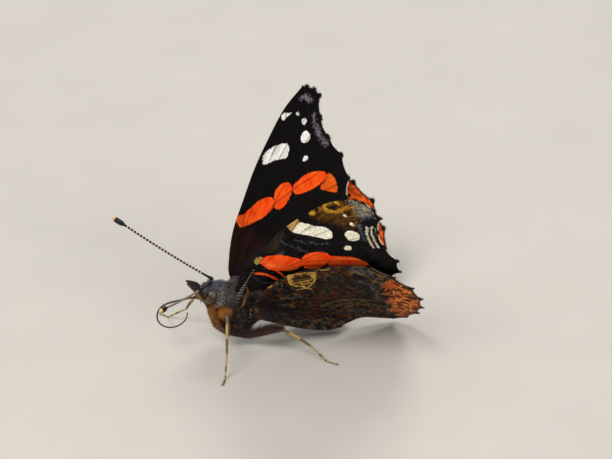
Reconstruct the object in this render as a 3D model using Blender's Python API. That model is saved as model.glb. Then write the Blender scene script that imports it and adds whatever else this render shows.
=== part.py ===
"""Red admiral butterfly at life size, standing with its wings half raised.

Sizes are millimetres in the tables of this file and metres in the finished
meshes. The body frame has its origin between the roots of the forewings, with
s forward, x to the animal's left and h up. The butterfly faces -Y.
"""

import math

import bmesh
import bpy
from mathutils import Matrix, Vector
from mathutils.geometry import delaunay_2d_cdt

# Overall placing
MM = 0.001
GAP = 0.30
ROOT_HEIGHT = 10.29
CENTRE_X = 1.77
CENTRE_Y = 5.29
BODY_PITCH = 22.3
BODY_ROLL = -3.3

# Wings
WING_THICKNESS = 0.50
VEIN_RIDGE = 0.16
VEIN_HALF_WIDTH = 0.42
MARGIN_STEP = 1.3
SCALLOP_DIP = 0.42
FORE_ROOT = (2.30, 0.0, 0.0)
HIND_ROOT = (3.46, -2.8, -1.0)

# Head, thorax and abdomen, in the body frame
HEAD_CENTRE = (0.0, 3.80, -2.08)
HEAD_RADII = (1.56, 1.32, 1.70)
EYE_CENTRE = (1.22, 3.38, -2.35)
EYE_RADII = (0.74, 0.92, 1.05)
THORAX_FRONT = 2.10
THORAX_BACK = -5.85
THORAX_HALF_WIDTH = 2.85
THORAX_HALF_HEIGHT = 3.95
ABDOMEN_START = (0.0, 4.75, -5.30)
ABDOMEN_END = (0.0, 17.0, -9.05)
ABDOMEN_RADIUS = 1.95
ABDOMEN_RINGS = 7

# Feelers, palps and tongue
ANTENNA_RADIUS = 0.26
CLUB_RADIUS = 0.46
CLUB_LENGTH = 2.4
ANTENNA_ROOT_LEFT = (0.80, 4.60, -0.48)
ANTENNA_ROOT_RIGHT = (-0.76, 4.62, -0.08)
ANTENNA_TIP_LEFT = (13.4, -14.83, 4.53)
ANTENNA_TIP_RIGHT = (-9.0, -17.51, 9.49)
TONGUE_RADIUS = 0.26
TONGUE_RING_CENTRE = (0.0, -10.25, -3.85)
TONGUE_RING_RADII = (2.42, 2.22)

# Legs: hip, knee and ankle in the world frame before the shift, then the toe in plan
FEMUR_RADIUS = 0.44
TIBIA_RADIUS = 0.34
TARSUS_RADIUS = 0.27
FOOT_LENGTH = 1.7
FOOT_CENTRE_HEIGHT = 0.20
LEGS = {
    "mid_left": ((1.9, -1.6, -7.9), (5.5, -2.75, -1.9), (9.4, -3.75, -7.0), (12.4, -5.1)),
    "mid_right": ((-2.75, -2.2, -7.75), (-4.9, -5.1, -3.4), (-7.5, -6.44, -7.3), (-12.0, -9.75)),
    "hind_left": ((1.75, 2.1, -8.35), (4.9, 6.1, -6.0), (7.5, 10.25, -8.35), (10.56, 13.46)),
    "hind_right": ((-2.25, 2.2, -8.15), (-4.8, 5.8, -5.6), (-7.6, 9.9, -8.35), (-10.7, 12.9)),
}
HIPS = {
    "mid": ((1.15, 0.55, -7.20), (1.40, -1.15, -7.75)),
    "hind": ((1.05, -2.50, -7.62), (1.80, -4.66, -7.05)),
}
HIP_RADIUS = 0.50


def material(name, colour, roughness):
    """Make a Principled material."""
    mat = bpy.data.materials.new(name)
    mat.use_nodes = True
    shader = mat.node_tree.nodes["Principled BSDF"]
    shader.inputs["Base Color"].default_value = (*colour, 1.0)
    shader.inputs["Roughness"].default_value = roughness
    mat.diffuse_color = (*colour, 1.0)
    return mat


def body_axes():
    """Left, forward and up directions of the pitched and rolled body."""
    pitch = math.radians(BODY_PITCH)
    forward = Vector((0.0, -math.cos(pitch), math.sin(pitch)))
    up = Vector((0.0, math.sin(pitch), math.cos(pitch)))
    left = Vector((1.0, 0.0, 0.0))
    roll = Matrix.Rotation(math.radians(BODY_ROLL), 3, forward)
    return roll @ left, roll @ forward, roll @ up


LEFT, FORWARD, UP = body_axes()


def from_body(x, s, h):
    """World place, in millimetres, of a place in the body frame."""
    return LEFT * x + FORWARD * s + UP * h


def to_frame(point):
    """Shift a world place so that the model stands on the floor, in metres."""
    shift = Vector((CENTRE_X, CENTRE_Y, -ROOT_HEIGHT))
    return (Vector(point) - shift) * MM


def add_object(name, points, faces, mat):
    """Make a mesh object whose origin is the middle of its own points."""
    placed = [to_frame(p) for p in points]
    low = Vector([min(p[i] for p in placed) for i in range(3)])
    high = Vector([max(p[i] for p in placed) for i in range(3)])
    middle = (low + high) / 2
    mesh = bpy.data.meshes.new(name)
    mesh.from_pydata([p - middle for p in placed], [], faces)
    bm = bmesh.new()
    bm.from_mesh(mesh)
    bmesh.ops.recalc_face_normals(bm, faces=bm.faces)
    bmesh.ops.triangulate(bm, faces=[f for f in bm.faces if len(f.verts) > 4])
    bm.to_mesh(mesh)
    bm.free()
    mesh.materials.append(mat)
    obj = bpy.data.objects.new(name, mesh)
    obj.location = middle
    bpy.context.scene.collection.objects.link(obj)
    return obj


def smooth_step(value):
    """Ease a value from 0 to 1."""
    value = min(1.0, max(0.0, value))
    return value * value * (3.0 - 2.0 * value)


def spline(points, count):
    """Catmull-Rom points through the given ones, evenly spaced in length."""
    pts = [Vector(p) for p in points]
    ends = [pts[0] * 2 - pts[1]] + pts + [pts[-1] * 2 - pts[-2]]
    dense = []
    for i in range(1, len(ends) - 2):
        a, b, c, d = ends[i - 1: i + 3]
        for k in range(16):
            t = k / 16
            dense.append(
                0.5 * ((2 * b) + (c - a) * t + (2 * a - 5 * b + 4 * c - d) * t * t
                       + (3 * b - a - 3 * c + d) * t ** 3)
            )
    dense.append(pts[-1])
    total = [0.0]
    for a, b in zip(dense, dense[1:]):
        total.append(total[-1] + (b - a).length)
    out = []
    j = 0
    for i in range(count):
        want = total[-1] * i / (count - 1)
        while j < len(dense) - 2 and total[j + 1] < want:
            j += 1
        span = total[j + 1] - total[j]
        out.append(dense[j].lerp(dense[j + 1], (want - total[j]) / span if span else 0.0))
    return out


def loft(rings, start, end):
    """Points and faces of a closed skin over rings, ended by two poles."""
    sides = len(rings[0])
    points = [p for ring in rings for p in ring]
    faces = []
    for i in range(len(rings) - 1):
        for k in range(sides):
            a = i * sides + k
            b = i * sides + (k + 1) % sides
            faces.append((a, b, b + sides, a + sides))
    points += [start, end]
    first = len(points) - 2
    last = len(points) - 1
    base = (len(rings) - 1) * sides
    for k in range(sides):
        faces.append((first, (k + 1) % sides, k))
        faces.append((last, base + k, base + (k + 1) % sides))
    return points, faces


def tube(path, radii, sides, flat=1.0, across=None):
    """Points and faces of a rod along a path, with domed ends."""
    path = [Vector(p) for p in path]
    normal = across.copy() if across else (path[1] - path[0]).orthogonal()
    rings = []
    for i, centre in enumerate(path):
        ahead = path[min(i + 1, len(path) - 1)] - path[max(i - 1, 0)]
        ahead.normalize()
        normal = (normal - ahead * normal.dot(ahead)).normalized()
        side = ahead.cross(normal)
        ring = []
        for k in range(sides):
            turn = 2 * math.pi * k / sides
            ring.append(centre + (normal * math.cos(turn) * flat + side * math.sin(turn)) * radii[i])
        rings.append(ring)
    start_dir = (path[0] - path[1]).normalized()
    end_dir = (path[-1] - path[-2]).normalized()
    start = path[0] + start_dir * radii[0] * 0.35
    end = path[-1] + end_dir * radii[-1] * 0.35
    return loft(rings, start, end)


def ellipsoid(centre, radii, rings=10, sides=18, side=1):
    """Points and faces of an ellipsoid whose axes follow the body frame."""
    cx, cs, ch = centre
    out = []
    for i in range(1, rings):
        lat = math.pi * i / rings
        out.append([
            from_body(
                side * cx + radii[0] * math.sin(lat) * math.cos(2 * math.pi * k / sides),
                cs + radii[1] * math.cos(lat),
                ch + radii[2] * math.sin(lat) * math.sin(2 * math.pi * k / sides),
            )
            for k in range(sides)
        ])
    start = from_body(side * cx, cs + radii[1], ch)
    end = from_body(side * cx, cs - radii[1], ch)
    return loft(out, start, end)


def cut_away(target, cutter):
    """Take a closed cutter out of a target and remove the cutter."""
    mod = target.modifiers.new("cut", "BOOLEAN")
    mod.operation = "DIFFERENCE"
    mod.solver = "EXACT"
    mod.object = cutter
    bpy.context.view_layer.update()
    graph = bpy.context.evaluated_depsgraph_get()
    mesh = bpy.data.meshes.new_from_object(target.evaluated_get(graph))
    target.modifiers.remove(mod)
    old = target.data
    target.data = mesh
    bpy.data.meshes.remove(old)
    bpy.data.objects.remove(cutter)
    bm = bmesh.new()
    bm.from_mesh(mesh)
    bmesh.ops.remove_doubles(bm, verts=bm.verts, dist=0.00001)
    bm.to_mesh(mesh)
    bm.free()


class Wing:
    """One wing: its flat outline and veins, and where it is held."""

    def __init__(self, side, root, dihedral, pitch, sweep, bend, crease=None, crease_turn=0.0):
        self.side = side
        self.unsweep = Matrix.Rotation(math.radians(-sweep), 2)
        self.crease = crease
        self.crease_turn = math.radians(crease_turn)
        turn = (
            Matrix.Rotation(-math.radians(dihedral), 3, "Y")
            @ Matrix.Rotation(math.radians(pitch), 3, "X")
            @ Matrix.Rotation(math.radians(sweep), 3, "Z")
        )
        axes = Matrix((LEFT * side, FORWARD, UP)).transposed()
        self.origin = from_body(root[0] * side, root[1], root[2])
        whole = axes @ turn
        self.out = whole.col[0].copy()
        self.fore = whole.col[1].copy()
        self.normal = self.out.cross(self.fore)
        if self.normal.dot(UP) < 0:
            self.normal = -self.normal
        self.bend = bend

    def past_crease(self, point):
        """How far a flat point lies past the crease, towards the body."""
        if self.crease is None:
            return 0.0
        own = self.unsweep.transposed() @ point
        for a, b in zip(self.crease, self.crease[1:]):
            if own.y >= b[1] or b is self.crease[-1]:
                t = (own.y - a[1]) / (b[1] - a[1])
                return max(0.0, a[0] + (b[0] - a[0]) * max(0.0, t) - own.x)
        return 0.0

    def place(self, x, y, lift=0.0):
        """World place of a flat wing point, lifted off the bent sheet."""
        a, b, c = self.bend
        past = self.past_crease(Vector((x, y)))
        inward = self.unsweep @ Vector((-1.0, 0.0))
        flat = Vector((x, y)) - inward * past
        rise = a * flat.x * flat.x + b * flat.x * flat.y + c * flat.y * flat.y
        spot = self.origin + self.out * flat.x + self.fore * flat.y + self.normal * rise
        along = self.out * inward.x + self.fore * inward.y
        turn = min(past / CREASE_RADIUS, self.crease_turn)
        rest = past - turn * CREASE_RADIUS
        spot += along * (CREASE_RADIUS * math.sin(turn) + rest * math.cos(turn))
        spot -= self.normal * (CREASE_RADIUS * (1.0 - math.cos(turn)) + rest * math.sin(turn))
        return spot + (self.normal * math.cos(turn) + along * math.sin(turn)) * lift


# Flat places on the forewing: x from root to apex, y towards the head
FORE_COSTA = [(0.05, 0.85), (1.6, 1.6), (6.5, 3.0), (12.0, 3.3), (17.0, 3.45), (22.0, 3.05), (27.5, 2.2),
              (32.0, 0.35)]
FORE_INNER = [(19.0, -15.3), (14.0, -11.6), (8.0, -6.6), (3.2, -2.6), (1.3, -1.4), (0.05, -0.95)]
FORE_MARGIN = [(32.7, -0.6), (32.95, -2.4), (32.5, -4.1), (29.3, -5.7), (27.1, -8.4), (25.5, -12.0),
               (22.4, -14.7), (19.0, -15.3)]
FORE_VEINS = [
    [(0.6, 0.6), (9.0, 2.0), (17.3, 3.3)],
    [(0.6, 0.0), (6.0, 1.2), (12.0, 1.4), (21.5, 3.0)],
    [(12.0, 1.4), (20.0, 1.3), (24.5, 1.2), (28.8, 1.8)],
    [(24.5, 1.2), (32.7, -0.6)],
    [(20.0, 1.3), (26.5, -0.3), (32.95, -2.4)],
    [(12.0, 1.4), (14.6, 0.4), (22.0, -0.7), (28.0, -2.6), (32.5, -4.1)],
    [(14.6, 0.4), (15.0, -1.0), (20.0, -2.8), (25.0, -4.4), (29.3, -5.7)],
    [(12.6, -2.2), (16.6, -3.0), (20.5, -4.8), (24.0, -6.7), (27.1, -8.4)],
    [(1.2, -0.4), (6.0, -0.8), (9.0, -1.4), (12.6, -2.2), (16.8, -5.0), (21.0, -8.6), (25.5, -12.0)],
    [(9.0, -1.4), (13.4, -5.0), (18.0, -9.9), (22.4, -14.7)],
    [(1.3, -0.9), (6.0, -3.6), (12.0, -8.6), (18.6, -14.7)],
]

# Flat places on the hindwing, swept inside its own frame
HIND_COSTA = [(0.6, 1.1), (2.4, 2.3), (5.4, 4.1), (9.8, 5.2), (14.7, 4.9), (18.8, 4.4), (22.2, 3.3)]
HIND_MARGIN = [(22.2, 3.3), (24.1, -0.4), (25.1, -4.2), (24.2, -8.6), (22.0, -12.9), (19.3, -16.6),
               (15.6, -20.0), (11.8, -22.0), (8.4, -22.8)]

# Inner edge of a hindwing and the crease where it turns down beside the abdomen,
# with y along the body and x away from it
NECK_LEFT = -1.95
NECK_RIGHT = -1.3
NECK_HALF_WIDTH = 0.7
HIND_INNER_LEFT = [(-1.9, -1.6), (-2.3, -5.0), (-2.6, -9.5), (-2.4, -13.5), (-1.4, -17.0), (-0.5, -20.0),
                   (-0.4, -26.5)]
HIND_INNER_RIGHT = [(-1.4, -1.6), (-1.4, -5.0), (-1.9, -9.5), (-1.7, -13.5), (0.2, -17.2), (2.3, -20.5),
                    (4.6, -28.0)]
CREASE_LEFT = [(0.9, -1.0), (0.9, -14.0), (-0.5, -20.0), (-1.2, -28.0)]
CREASE_RIGHT = [(0.6, -1.0), (0.8, -12.0), (1.6, -18.0), (3.4, -28.0)]
CREASE_RADIUS = 2.0
CREASE_TURN_LEFT = 50.0
CREASE_TURN_RIGHT = 24.0
HIND_SIZE_RIGHT = 1.066

# The front of the right hindwing is held in a little, which narrows it past these places
HIND_TUCK_RIGHT = 0.11
TUCK_FROM_X = 8.0
TUCK_FROM_Y = -13.0
TUCK_RUN = 8.0
HIND_VEINS = [
    [(1.3, 1.0), (6.0, 3.4), (13.0, 4.1), (22.2, 3.3)],
    [(1.3, 0.4), (6.5, 1.4), (14.0, 1.6), (24.1, -0.4)],
    [(6.5, 1.4), (9.0, -0.2), (15.5, -1.8), (25.1, -4.2)],
    [(6.5, 1.4), (9.0, -1.8), (15.5, -4.8), (24.2, -8.6)],
    [(8.0, -3.4), (14.5, -8.2), (22.0, -12.9)],
    [(1.3, -0.3), (5.0, -1.9), (8.0, -3.4), (13.0, -9.8), (19.3, -16.6)],
    [(5.0, -1.9), (10.0, -10.0), (15.6, -20.0)],
    [(1.2, -1.0), (5.6, -9.0), (11.8, -22.0)],
]


def tucked(x, y, tuck):
    """A flat hindwing place drawn in by a share of its reach, at the front of the wing only."""
    share = smooth_step((x - TUCK_FROM_X) / TUCK_RUN) * smooth_step((y - TUCK_FROM_Y) / TUCK_RUN)
    return x * (1.0 - tuck * share), y


def flat_spline(points, step):
    """A smooth flat curve through points, sampled at about one step."""
    length = sum((Vector(b) - Vector(a)).length for a, b in zip(points, points[1:]))
    count = max(3, int(round(length / step)) + 1)
    return [Vector(p[:2]) for p in spline([(*p, 0.0) for p in points], count)]


def scalloped(ends, dip):
    """A margin whose vein ends stand out and whose gaps curve inwards."""
    out = []
    for a, b in zip(ends, ends[1:]):
        a, b = Vector(a), Vector(b)
        along = b - a
        inward = Vector((along.y, -along.x)).normalized()
        if inward.dot((a + b) / 2) > 0:
            inward = -inward
        depth = min(dip, 0.14 * along.length)
        count = 4 if along.length > 2.2 else 2
        for k in range(count):
            t = k / count
            shape = math.sin(math.pi * t) ** 0.8 if t > 0 else 0.0
            out.append(a + along * t + inward * depth * shape)
    out.append(Vector(ends[-1]))
    return out


def crossing(a, b, c, d):
    """Where two flat line pieces cross, or None."""
    along = b - a
    other = d - c
    area = along.x * other.y - along.y * other.x
    if abs(area) < 1e-9:
        return None
    gap = c - a
    t = (gap.x * other.y - gap.y * other.x) / area
    u = (gap.x * along.y - gap.y * along.x) / area
    if 0.0 <= t <= 1.0 and 0.0 <= u <= 1.0:
        return a + along * t
    return None


def inside(point, outline):
    """Whether a flat point is inside an outline."""
    hit = False
    for a, b in zip(outline, outline[1:] + outline[:1]):
        if (a.y > point.y) != (b.y > point.y):
            if point.x < (b.x - a.x) * (point.y - a.y) / (b.y - a.y) + a.x:
                hit = not hit
    return hit


def edge_distance(point, lines):
    """Distance from a flat point to the nearest of some polylines."""
    best = 1e9
    for line in lines:
        for a, b in zip(line, line[1:]):
            d = b - a
            t = max(0.0, min(1.0, (point - a).dot(d) / d.length_squared))
            best = min(best, (a + d * t - point).length)
    return best


def wing_mesh(wing, outline, veins, guides):
    """Closed thin wing with the same triangles on both faces.

    Veins are raised as ridges; guides only carry rows of points.
    """
    ring = outline + outline[:1]
    lines = [flat_spline(v, 2.6) for v in veins]
    points = list(outline)
    edges = [(i, (i + 1) % len(outline)) for i in range(len(outline))]
    rows = [(line, (-VEIN_HALF_WIDTH, 0.0, VEIN_HALF_WIDTH)) for line in lines]
    rows += [(line, (0.0,)) for line in guides]
    for line, shifts in rows:
        for shift in shifts:
            last = None
            for i, p in enumerate(line):
                ahead = line[min(i + 1, len(line) - 1)] - line[max(i - 1, 0)]
                ahead.normalize()
                q = p + Vector((-ahead.y, ahead.x)) * shift
                if not inside(q, outline) or edge_distance(q, [ring]) < 0.35:
                    last = None
                    continue
                if any((q - other).length < 0.22 for other in points):
                    last = None
                    continue
                points.append(q)
                if last is not None:
                    edges.append((last, len(points) - 1))
                last = len(points) - 1
    low_x = min(p.x for p in outline)
    high_x = max(p.x for p in outline)
    low_y = min(p.y for p in outline)
    high_y = max(p.y for p in outline)
    step = 2.2
    for i in range(int((high_x - low_x) / step) + 2):
        for j in range(int((high_y - low_y) / step) + 2):
            q = Vector((low_x + (i + 0.5 * (j % 2)) * step, low_y + j * step))
            if not inside(q, outline) or edge_distance(q, [ring]) < 0.8:
                continue
            if edge_distance(q, lines + guides) > 1.1:
                points.append(q)
    verts, _, tris, _, _, _ = delaunay_2d_cdt(points, edges, [list(range(len(outline)))], 1, 1e-5)
    used = sorted({i for t in tris for i in t})
    index = {old: new for new, old in enumerate(used)}
    verts = [verts[i] for i in used]
    tris = [tuple(index[i] for i in t) for t in tris]
    count = {}
    for t in tris:
        for a, b in zip(t, t[1:] + t[:1]):
            count[(a, b)] = 1
    rim = [e for e in count if (e[1], e[0]) not in count]
    top = []
    low = []
    for v in verts:
        d = edge_distance(v, lines)
        ridge = VEIN_RIDGE * max(0.0, 1.0 - d / VEIN_HALF_WIDTH)
        half = WING_THICKNESS / 2 + ridge
        top.append(wing.place(v.x, v.y, half))
        low.append(wing.place(v.x, v.y, -half))
    n = len(verts)
    faces = [t for t in tris] + [tuple(n + i for i in reversed(t)) for t in tris]
    faces += [(b, a, n + a, n + b) for a, b in rim]
    return top + low, faces


def fore_outline():
    """Outline of a forewing, once round."""
    costa = flat_spline(FORE_COSTA, MARGIN_STEP * 1.3)
    margin = scalloped(FORE_MARGIN, SCALLOP_DIP)
    inner = flat_spline(FORE_INNER, MARGIN_STEP * 1.8)
    return costa + margin + inner[1:]


def hind_outline(wing, neck_x, inner, size, tuck):
    """Outline of a hindwing, with its inner edge beside the abdomen."""
    costa = flat_spline([tucked(x, y, tuck) for x, y in HIND_COSTA], MARGIN_STEP * 1.2)
    margin = scalloped([tucked(x, y, tuck) for x, y in HIND_MARGIN], SCALLOP_DIP)
    rim = [p * size for p in costa[:-1] + margin]
    neck = [wing.unsweep @ Vector((neck_x, y)) for y in (-NECK_HALF_WIDTH, NECK_HALF_WIDTH)]
    edge = [wing.unsweep @ p for p in flat_spline(inner, MARGIN_STEP * 1.4)]
    for i, (a, b) in enumerate(zip(rim, rim[1:])):
        for j, (c, d) in enumerate(zip(edge, edge[1:])):
            meet = crossing(a, b, c, d)
            if meet is not None and i > len(costa):
                outline = rim[: i + 1] + [meet] + edge[: j + 1][::-1] + neck
                clean = [outline[0]]
                for p in outline[1:]:
                    if (p - clean[-1]).length > 0.3:
                        clean.append(p)
                return clean
    raise ValueError("the inner edge misses the margin")


def crease_guides(wing):
    """Rows of points along the crease of a hindwing and inside its turn."""
    rows = []
    for inset in (0.0, 0.45, 0.9):
        shift = inset * CREASE_RADIUS * wing.crease_turn
        row = [wing.unsweep @ Vector((x - shift, y)) for x, y in wing.crease]
        rows.append(flat_spline(row, 1.9))
    return rows


def build_wings(mats):
    """The four wings."""
    fore = {
        1: Wing(1, FORE_ROOT, 62.3, -0.1, -7.7, (-0.0013, 0.0165, 0.0119)),
        -1: Wing(-1, FORE_ROOT, 60.7, 7.6, -7.7, (0.0004, 0.0103, 0.0063)),
    }
    hind = {
        1: Wing(1, HIND_ROOT, 59.9, -8.1, -31.8, (-0.0070, 0.0065, 0.0081), CREASE_LEFT, CREASE_TURN_LEFT),
        -1: Wing(-1, HIND_ROOT, 57.2, 6.3, -17.2, (-0.0009, 0.0029, 0.0018), CREASE_RIGHT, CREASE_TURN_RIGHT),
    }
    inner = {1: HIND_INNER_LEFT, -1: HIND_INNER_RIGHT}
    neck = {1: NECK_LEFT, -1: NECK_RIGHT}
    size = {1: 1.0, -1: HIND_SIZE_RIGHT}
    tuck = {1: 0.0, -1: HIND_TUCK_RIGHT}
    for side, word in ((1, "left"), (-1, "right")):
        points, faces = wing_mesh(fore[side], fore_outline(), FORE_VEINS, [])
        add_object("forewing_" + word, points, faces, mats["forewing"])
        wing = hind[side]
        outline = hind_outline(wing, neck[side], inner[side], size[side], tuck[side])
        veins = []
        for vein in HIND_VEINS:
            held = [tucked(x, y, tuck[side]) for x, y in vein]
            veins.append([(x * size[side], y * size[side]) for x, y in held])
        points, faces = wing_mesh(wing, outline, veins, crease_guides(wing))
        add_object("hindwing_" + word, points, faces, mats["hindwing"])


def build_thorax(mats):
    """The deep, egg-shaped thorax."""
    rings = []
    count = 12
    sides = 20
    for i in range(count):
        t = 0.03 + 0.94 * i / (count - 1)
        s = THORAX_FRONT + (THORAX_BACK - THORAX_FRONT) * t
        swell = math.sin(math.pi * t ** 0.90) ** 0.50
        width = THORAX_HALF_WIDTH * swell
        height = THORAX_HALF_HEIGHT * swell
        centre = -2.35 - 0.85 * smooth_step(t / 0.45) - 0.1 * t
        rings.append([
            from_body(
                width * math.cos(2 * math.pi * k / sides),
                s,
                centre + height * math.sin(2 * math.pi * k / sides),
            )
            for k in range(sides)
        ])
    start = from_body(0.0, THORAX_FRONT, -2.35)
    end = from_body(0.0, THORAX_BACK, -3.3)
    points, faces = loft(rings, start, end)
    return add_object("thorax", points, faces, mats["thorax"])


def build_abdomen(mats):
    """The tapering abdomen with its rings."""
    start = Vector(ABDOMEN_START)
    end = Vector(ABDOMEN_END)
    axis = (end - start).normalized()
    across = Vector((1.0, 0.0, 0.0))
    up = across.cross(axis)
    if up.z < 0:
        up = -up
    rings = []
    sides = 18
    stations = ABDOMEN_RINGS * 3
    for i in range(stations + 1):
        t = i / stations
        body = 0.60 + 0.40 * smooth_step(t / 0.35)
        tail = math.sqrt(max(0.0, 1.0 - max(0.0, (t - 0.45) / 0.60) ** 2))
        groove = 0.93 if i % 3 == 0 else 1.0
        radius = ABDOMEN_RADIUS * body * tail * groove
        centre = start.lerp(end, t)
        rings.append([
            centre + (across * math.cos(2 * math.pi * k / sides)
                      + up * math.sin(2 * math.pi * k / sides) * 1.03) * radius
            for k in range(sides)
        ])
    points, faces = loft(rings, start - axis * 0.15, end + axis * 0.25)
    return add_object("abdomen", points, faces, mats["abdomen"])


def build_head(mats):
    """The head with a socket for each eye, and the two eyes."""
    points, faces = ellipsoid(HEAD_CENTRE, HEAD_RADII, 12, 22)
    head = add_object("head", points, faces, mats["head"])
    for side, word in ((1, "left"), (-1, "right")):
        room = tuple(r + GAP + 0.03 for r in EYE_RADII)
        points, faces = ellipsoid(EYE_CENTRE, room, 10, 16, side)
        cutter = add_object("cutter_" + word, points, faces, mats["eye"])
        cutter.hide_render = True
        cutter.display_type = "WIRE"
        cut_away(head, cutter)
        points, faces = ellipsoid(EYE_CENTRE, EYE_RADII, 10, 18, side)
        add_object("eye_" + word, points, faces, mats["eye"])


def build_palps(mats):
    """The pair of palps that make the pointed beak."""
    for side, word in ((1, "left"), (-1, "right")):
        path = [
            from_body(side * 0.95, 5.40, -3.35),
            from_body(side * 0.80, 5.75, -2.50),
            from_body(side * 0.62, 6.55, -1.90),
            from_body(side * 0.50, 7.75, -1.35),
        ]
        stations = spline(path, 8)
        radii = [0.28, 0.40, 0.50, 0.52, 0.46, 0.38, 0.29, 0.16]
        points, faces = tube(stations, radii, 10, 0.62, LEFT.copy())
        add_object("palp_" + word, points, faces, mats["palp"])


def tongue_path(count):
    """Places along the half-uncoiled tongue, from the mouth to its tip."""
    cx, cy, cz = TONGUE_RING_CENTRE
    ry, rz = TONGUE_RING_RADII
    pts = [(0.0, -6.10, -1.50), (0.0, -6.7, -1.28), (0.0, -7.6, -1.25), (0.0, -9.0, -1.45)]
    turns = [95, 125, 155, 185, 215, 245, 275, 305, 335, 360]
    for turn in turns:
        a = math.radians(turn)
        pts.append((cx, cy - math.cos(a) * -ry, cz + math.sin(a) * rz))
    return spline(pts, count)


def split_path(path, pieces, gap):
    """Divide a dense path in pieces with a gap between neighbours."""
    total = [0.0]
    for a, b in zip(path, path[1:]):
        total.append(total[-1] + (b - a).length)
    whole = total[-1]
    out = []
    for i in range(pieces):
        start = whole * i / pieces + (gap / 2 if i else 0.0)
        end = whole * (i + 1) / pieces - (gap / 2 if i < pieces - 1 else 0.0)
        out.append([p for p, d in zip(path, total) if start <= d <= end])
    return out


def build_tongue(mats):
    """The tongue in three lengths."""
    dense = tongue_path(121)
    for i, piece in enumerate(split_path(dense, 3, GAP + TONGUE_RADIUS * 0.7)):
        stations = spline(piece, 12)
        if i == 2:
            radii = [TONGUE_RADIUS * (1.0 - 0.35 * smooth_step((k - 7) / 4)) for k in range(12)]
        else:
            radii = [TONGUE_RADIUS] * 12
        points, faces = tube(stations, radii, 8)
        add_object("tongue_%d" % (i + 1), points, faces, mats["tongue"])


def build_antennae(mats):
    """The two feelers, each a shaft and a club."""
    for word, root, tip, shaft_start in (
        ("left", ANTENNA_ROOT_LEFT, ANTENNA_TIP_LEFT, 0.16),
        ("right", ANTENNA_ROOT_RIGHT, ANTENNA_TIP_RIGHT, -0.27),
    ):
        root = from_body(*root)
        tip = Vector(tip)
        ahead = (tip - root).normalized()
        length = (tip - root).length
        shaft_end = length - CLUB_LENGTH - GAP - 0.19
        stations = [root + ahead * (shaft_start + (shaft_end - shaft_start) * k / 7) for k in range(8)]
        radii = [0.30, 0.28] + [ANTENNA_RADIUS] * 6
        points, faces = tube(stations, radii, 8)
        add_object("antenna_" + word, points, faces, mats["antenna"])
        profile = [(0.0, 0.27), (0.25, 0.38), (0.9, CLUB_RADIUS), (1.6, 0.45), (2.1, 0.34), (2.32, 0.18)]
        start = root + ahead * (length - CLUB_LENGTH)
        points, faces = tube([start + ahead * d for d, _ in profile], [r for _, r in profile], 10)
        add_object("antenna_club_" + word, points, faces, mats["club"])


def joint_trim(before, joint, after, end_radii):
    """How far two rods stop short of the joint they share."""
    a = (Vector(before) - Vector(joint)).normalized()
    b = (Vector(after) - Vector(joint)).normalized()
    angle = math.acos(max(-1.0, min(1.0, a.dot(b))))
    if angle > math.radians(115.0):
        return (GAP + 0.35 * sum(end_radii)) / 2 + 0.07
    return (GAP + sum(end_radii) * 1.1) / (2 * math.sin(angle / 2))


def rod_between(a, b, radii, sides, trim_a, trim_b):
    """A rod between two joints, stopping short of each."""
    a, b = Vector(a), Vector(b)
    ahead = (b - a).normalized()
    first = a + ahead * trim_a
    last = b - ahead * trim_b
    count = len(radii)
    path = [first.lerp(last, k / (count - 1)) for k in range(count)]
    return tube(path, radii, sides)


def build_legs(mats):
    """Four walking legs of thigh, shin and foot, and two folded forelegs."""
    floor = -ROOT_HEIGHT
    for name, (coxa, knee, ankle, foot) in LEGS.items():
        kind, word = name.split("_")
        side = 1 if word == "left" else -1
        hip = [from_body(side * p[0], p[1], p[2]) for p in HIPS[kind]]
        radii = [0.34, HIP_RADIUS, HIP_RADIUS, 0.46, 0.34]
        points, faces = rod_between(hip[0], hip[1], radii, 10, 0.0, 0.0)
        add_object("hip_" + name, points, faces, mats["thigh"])
        bend = joint_trim(coxa, knee, ankle, (0.28, 0.26))
        radii = [0.34, 0.50, 0.50, FEMUR_RADIUS, 0.38, 0.28]
        points, faces = rod_between(coxa, knee, radii, 10, 0.10, bend)
        add_object("thigh_" + name, points, faces, mats["thigh"])
        radii = [0.26, 0.33, TIBIA_RADIUS, 0.31, 0.30, 0.27]
        points, faces = rod_between(knee, ankle, radii, 8, bend, 0.24)
        add_object("shin_" + name, points, faces, mats["shin"])
        ankle = Vector(ankle)
        tip = Vector((foot[0], foot[1], floor + FOOT_CENTRE_HEIGHT))
        flat = Vector((tip.x - ankle.x, tip.y - ankle.y, 0.0)).normalized()
        heel = tip - flat * FOOT_LENGTH
        ahead = (heel - ankle).normalized()
        start = ankle + ahead * 0.24
        path = [start, start.lerp(heel, 0.33), start.lerp(heel, 0.66), heel - ahead * 0.35]
        path += [heel + flat * 0.30, heel + flat * 1.0, tip]
        stations = spline(path, 12)
        radii = [0.25] + [TARSUS_RADIUS] * 10 + [0.20]
        points, faces = tube(stations, radii, 8)
        points = [Vector((p.x, p.y, max(p.z, floor))) for p in points]
        add_object("foot_" + name, points, faces, mats["foot"])
    for side, word in ((1, "left"), (-1, "right")):
        path = [
            from_body(side * 0.85, 0.95, -6.95),
            from_body(side * 1.00, 1.70, -5.80),
            from_body(side * 1.00, 2.40, -4.75),
        ]
        stations = spline(path, 6)
        points, faces = tube(stations, [0.28, 0.40, 0.44, 0.42, 0.36, 0.26], 8)
        add_object("foreleg_" + word, points, faces, mats["thigh"])


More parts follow.
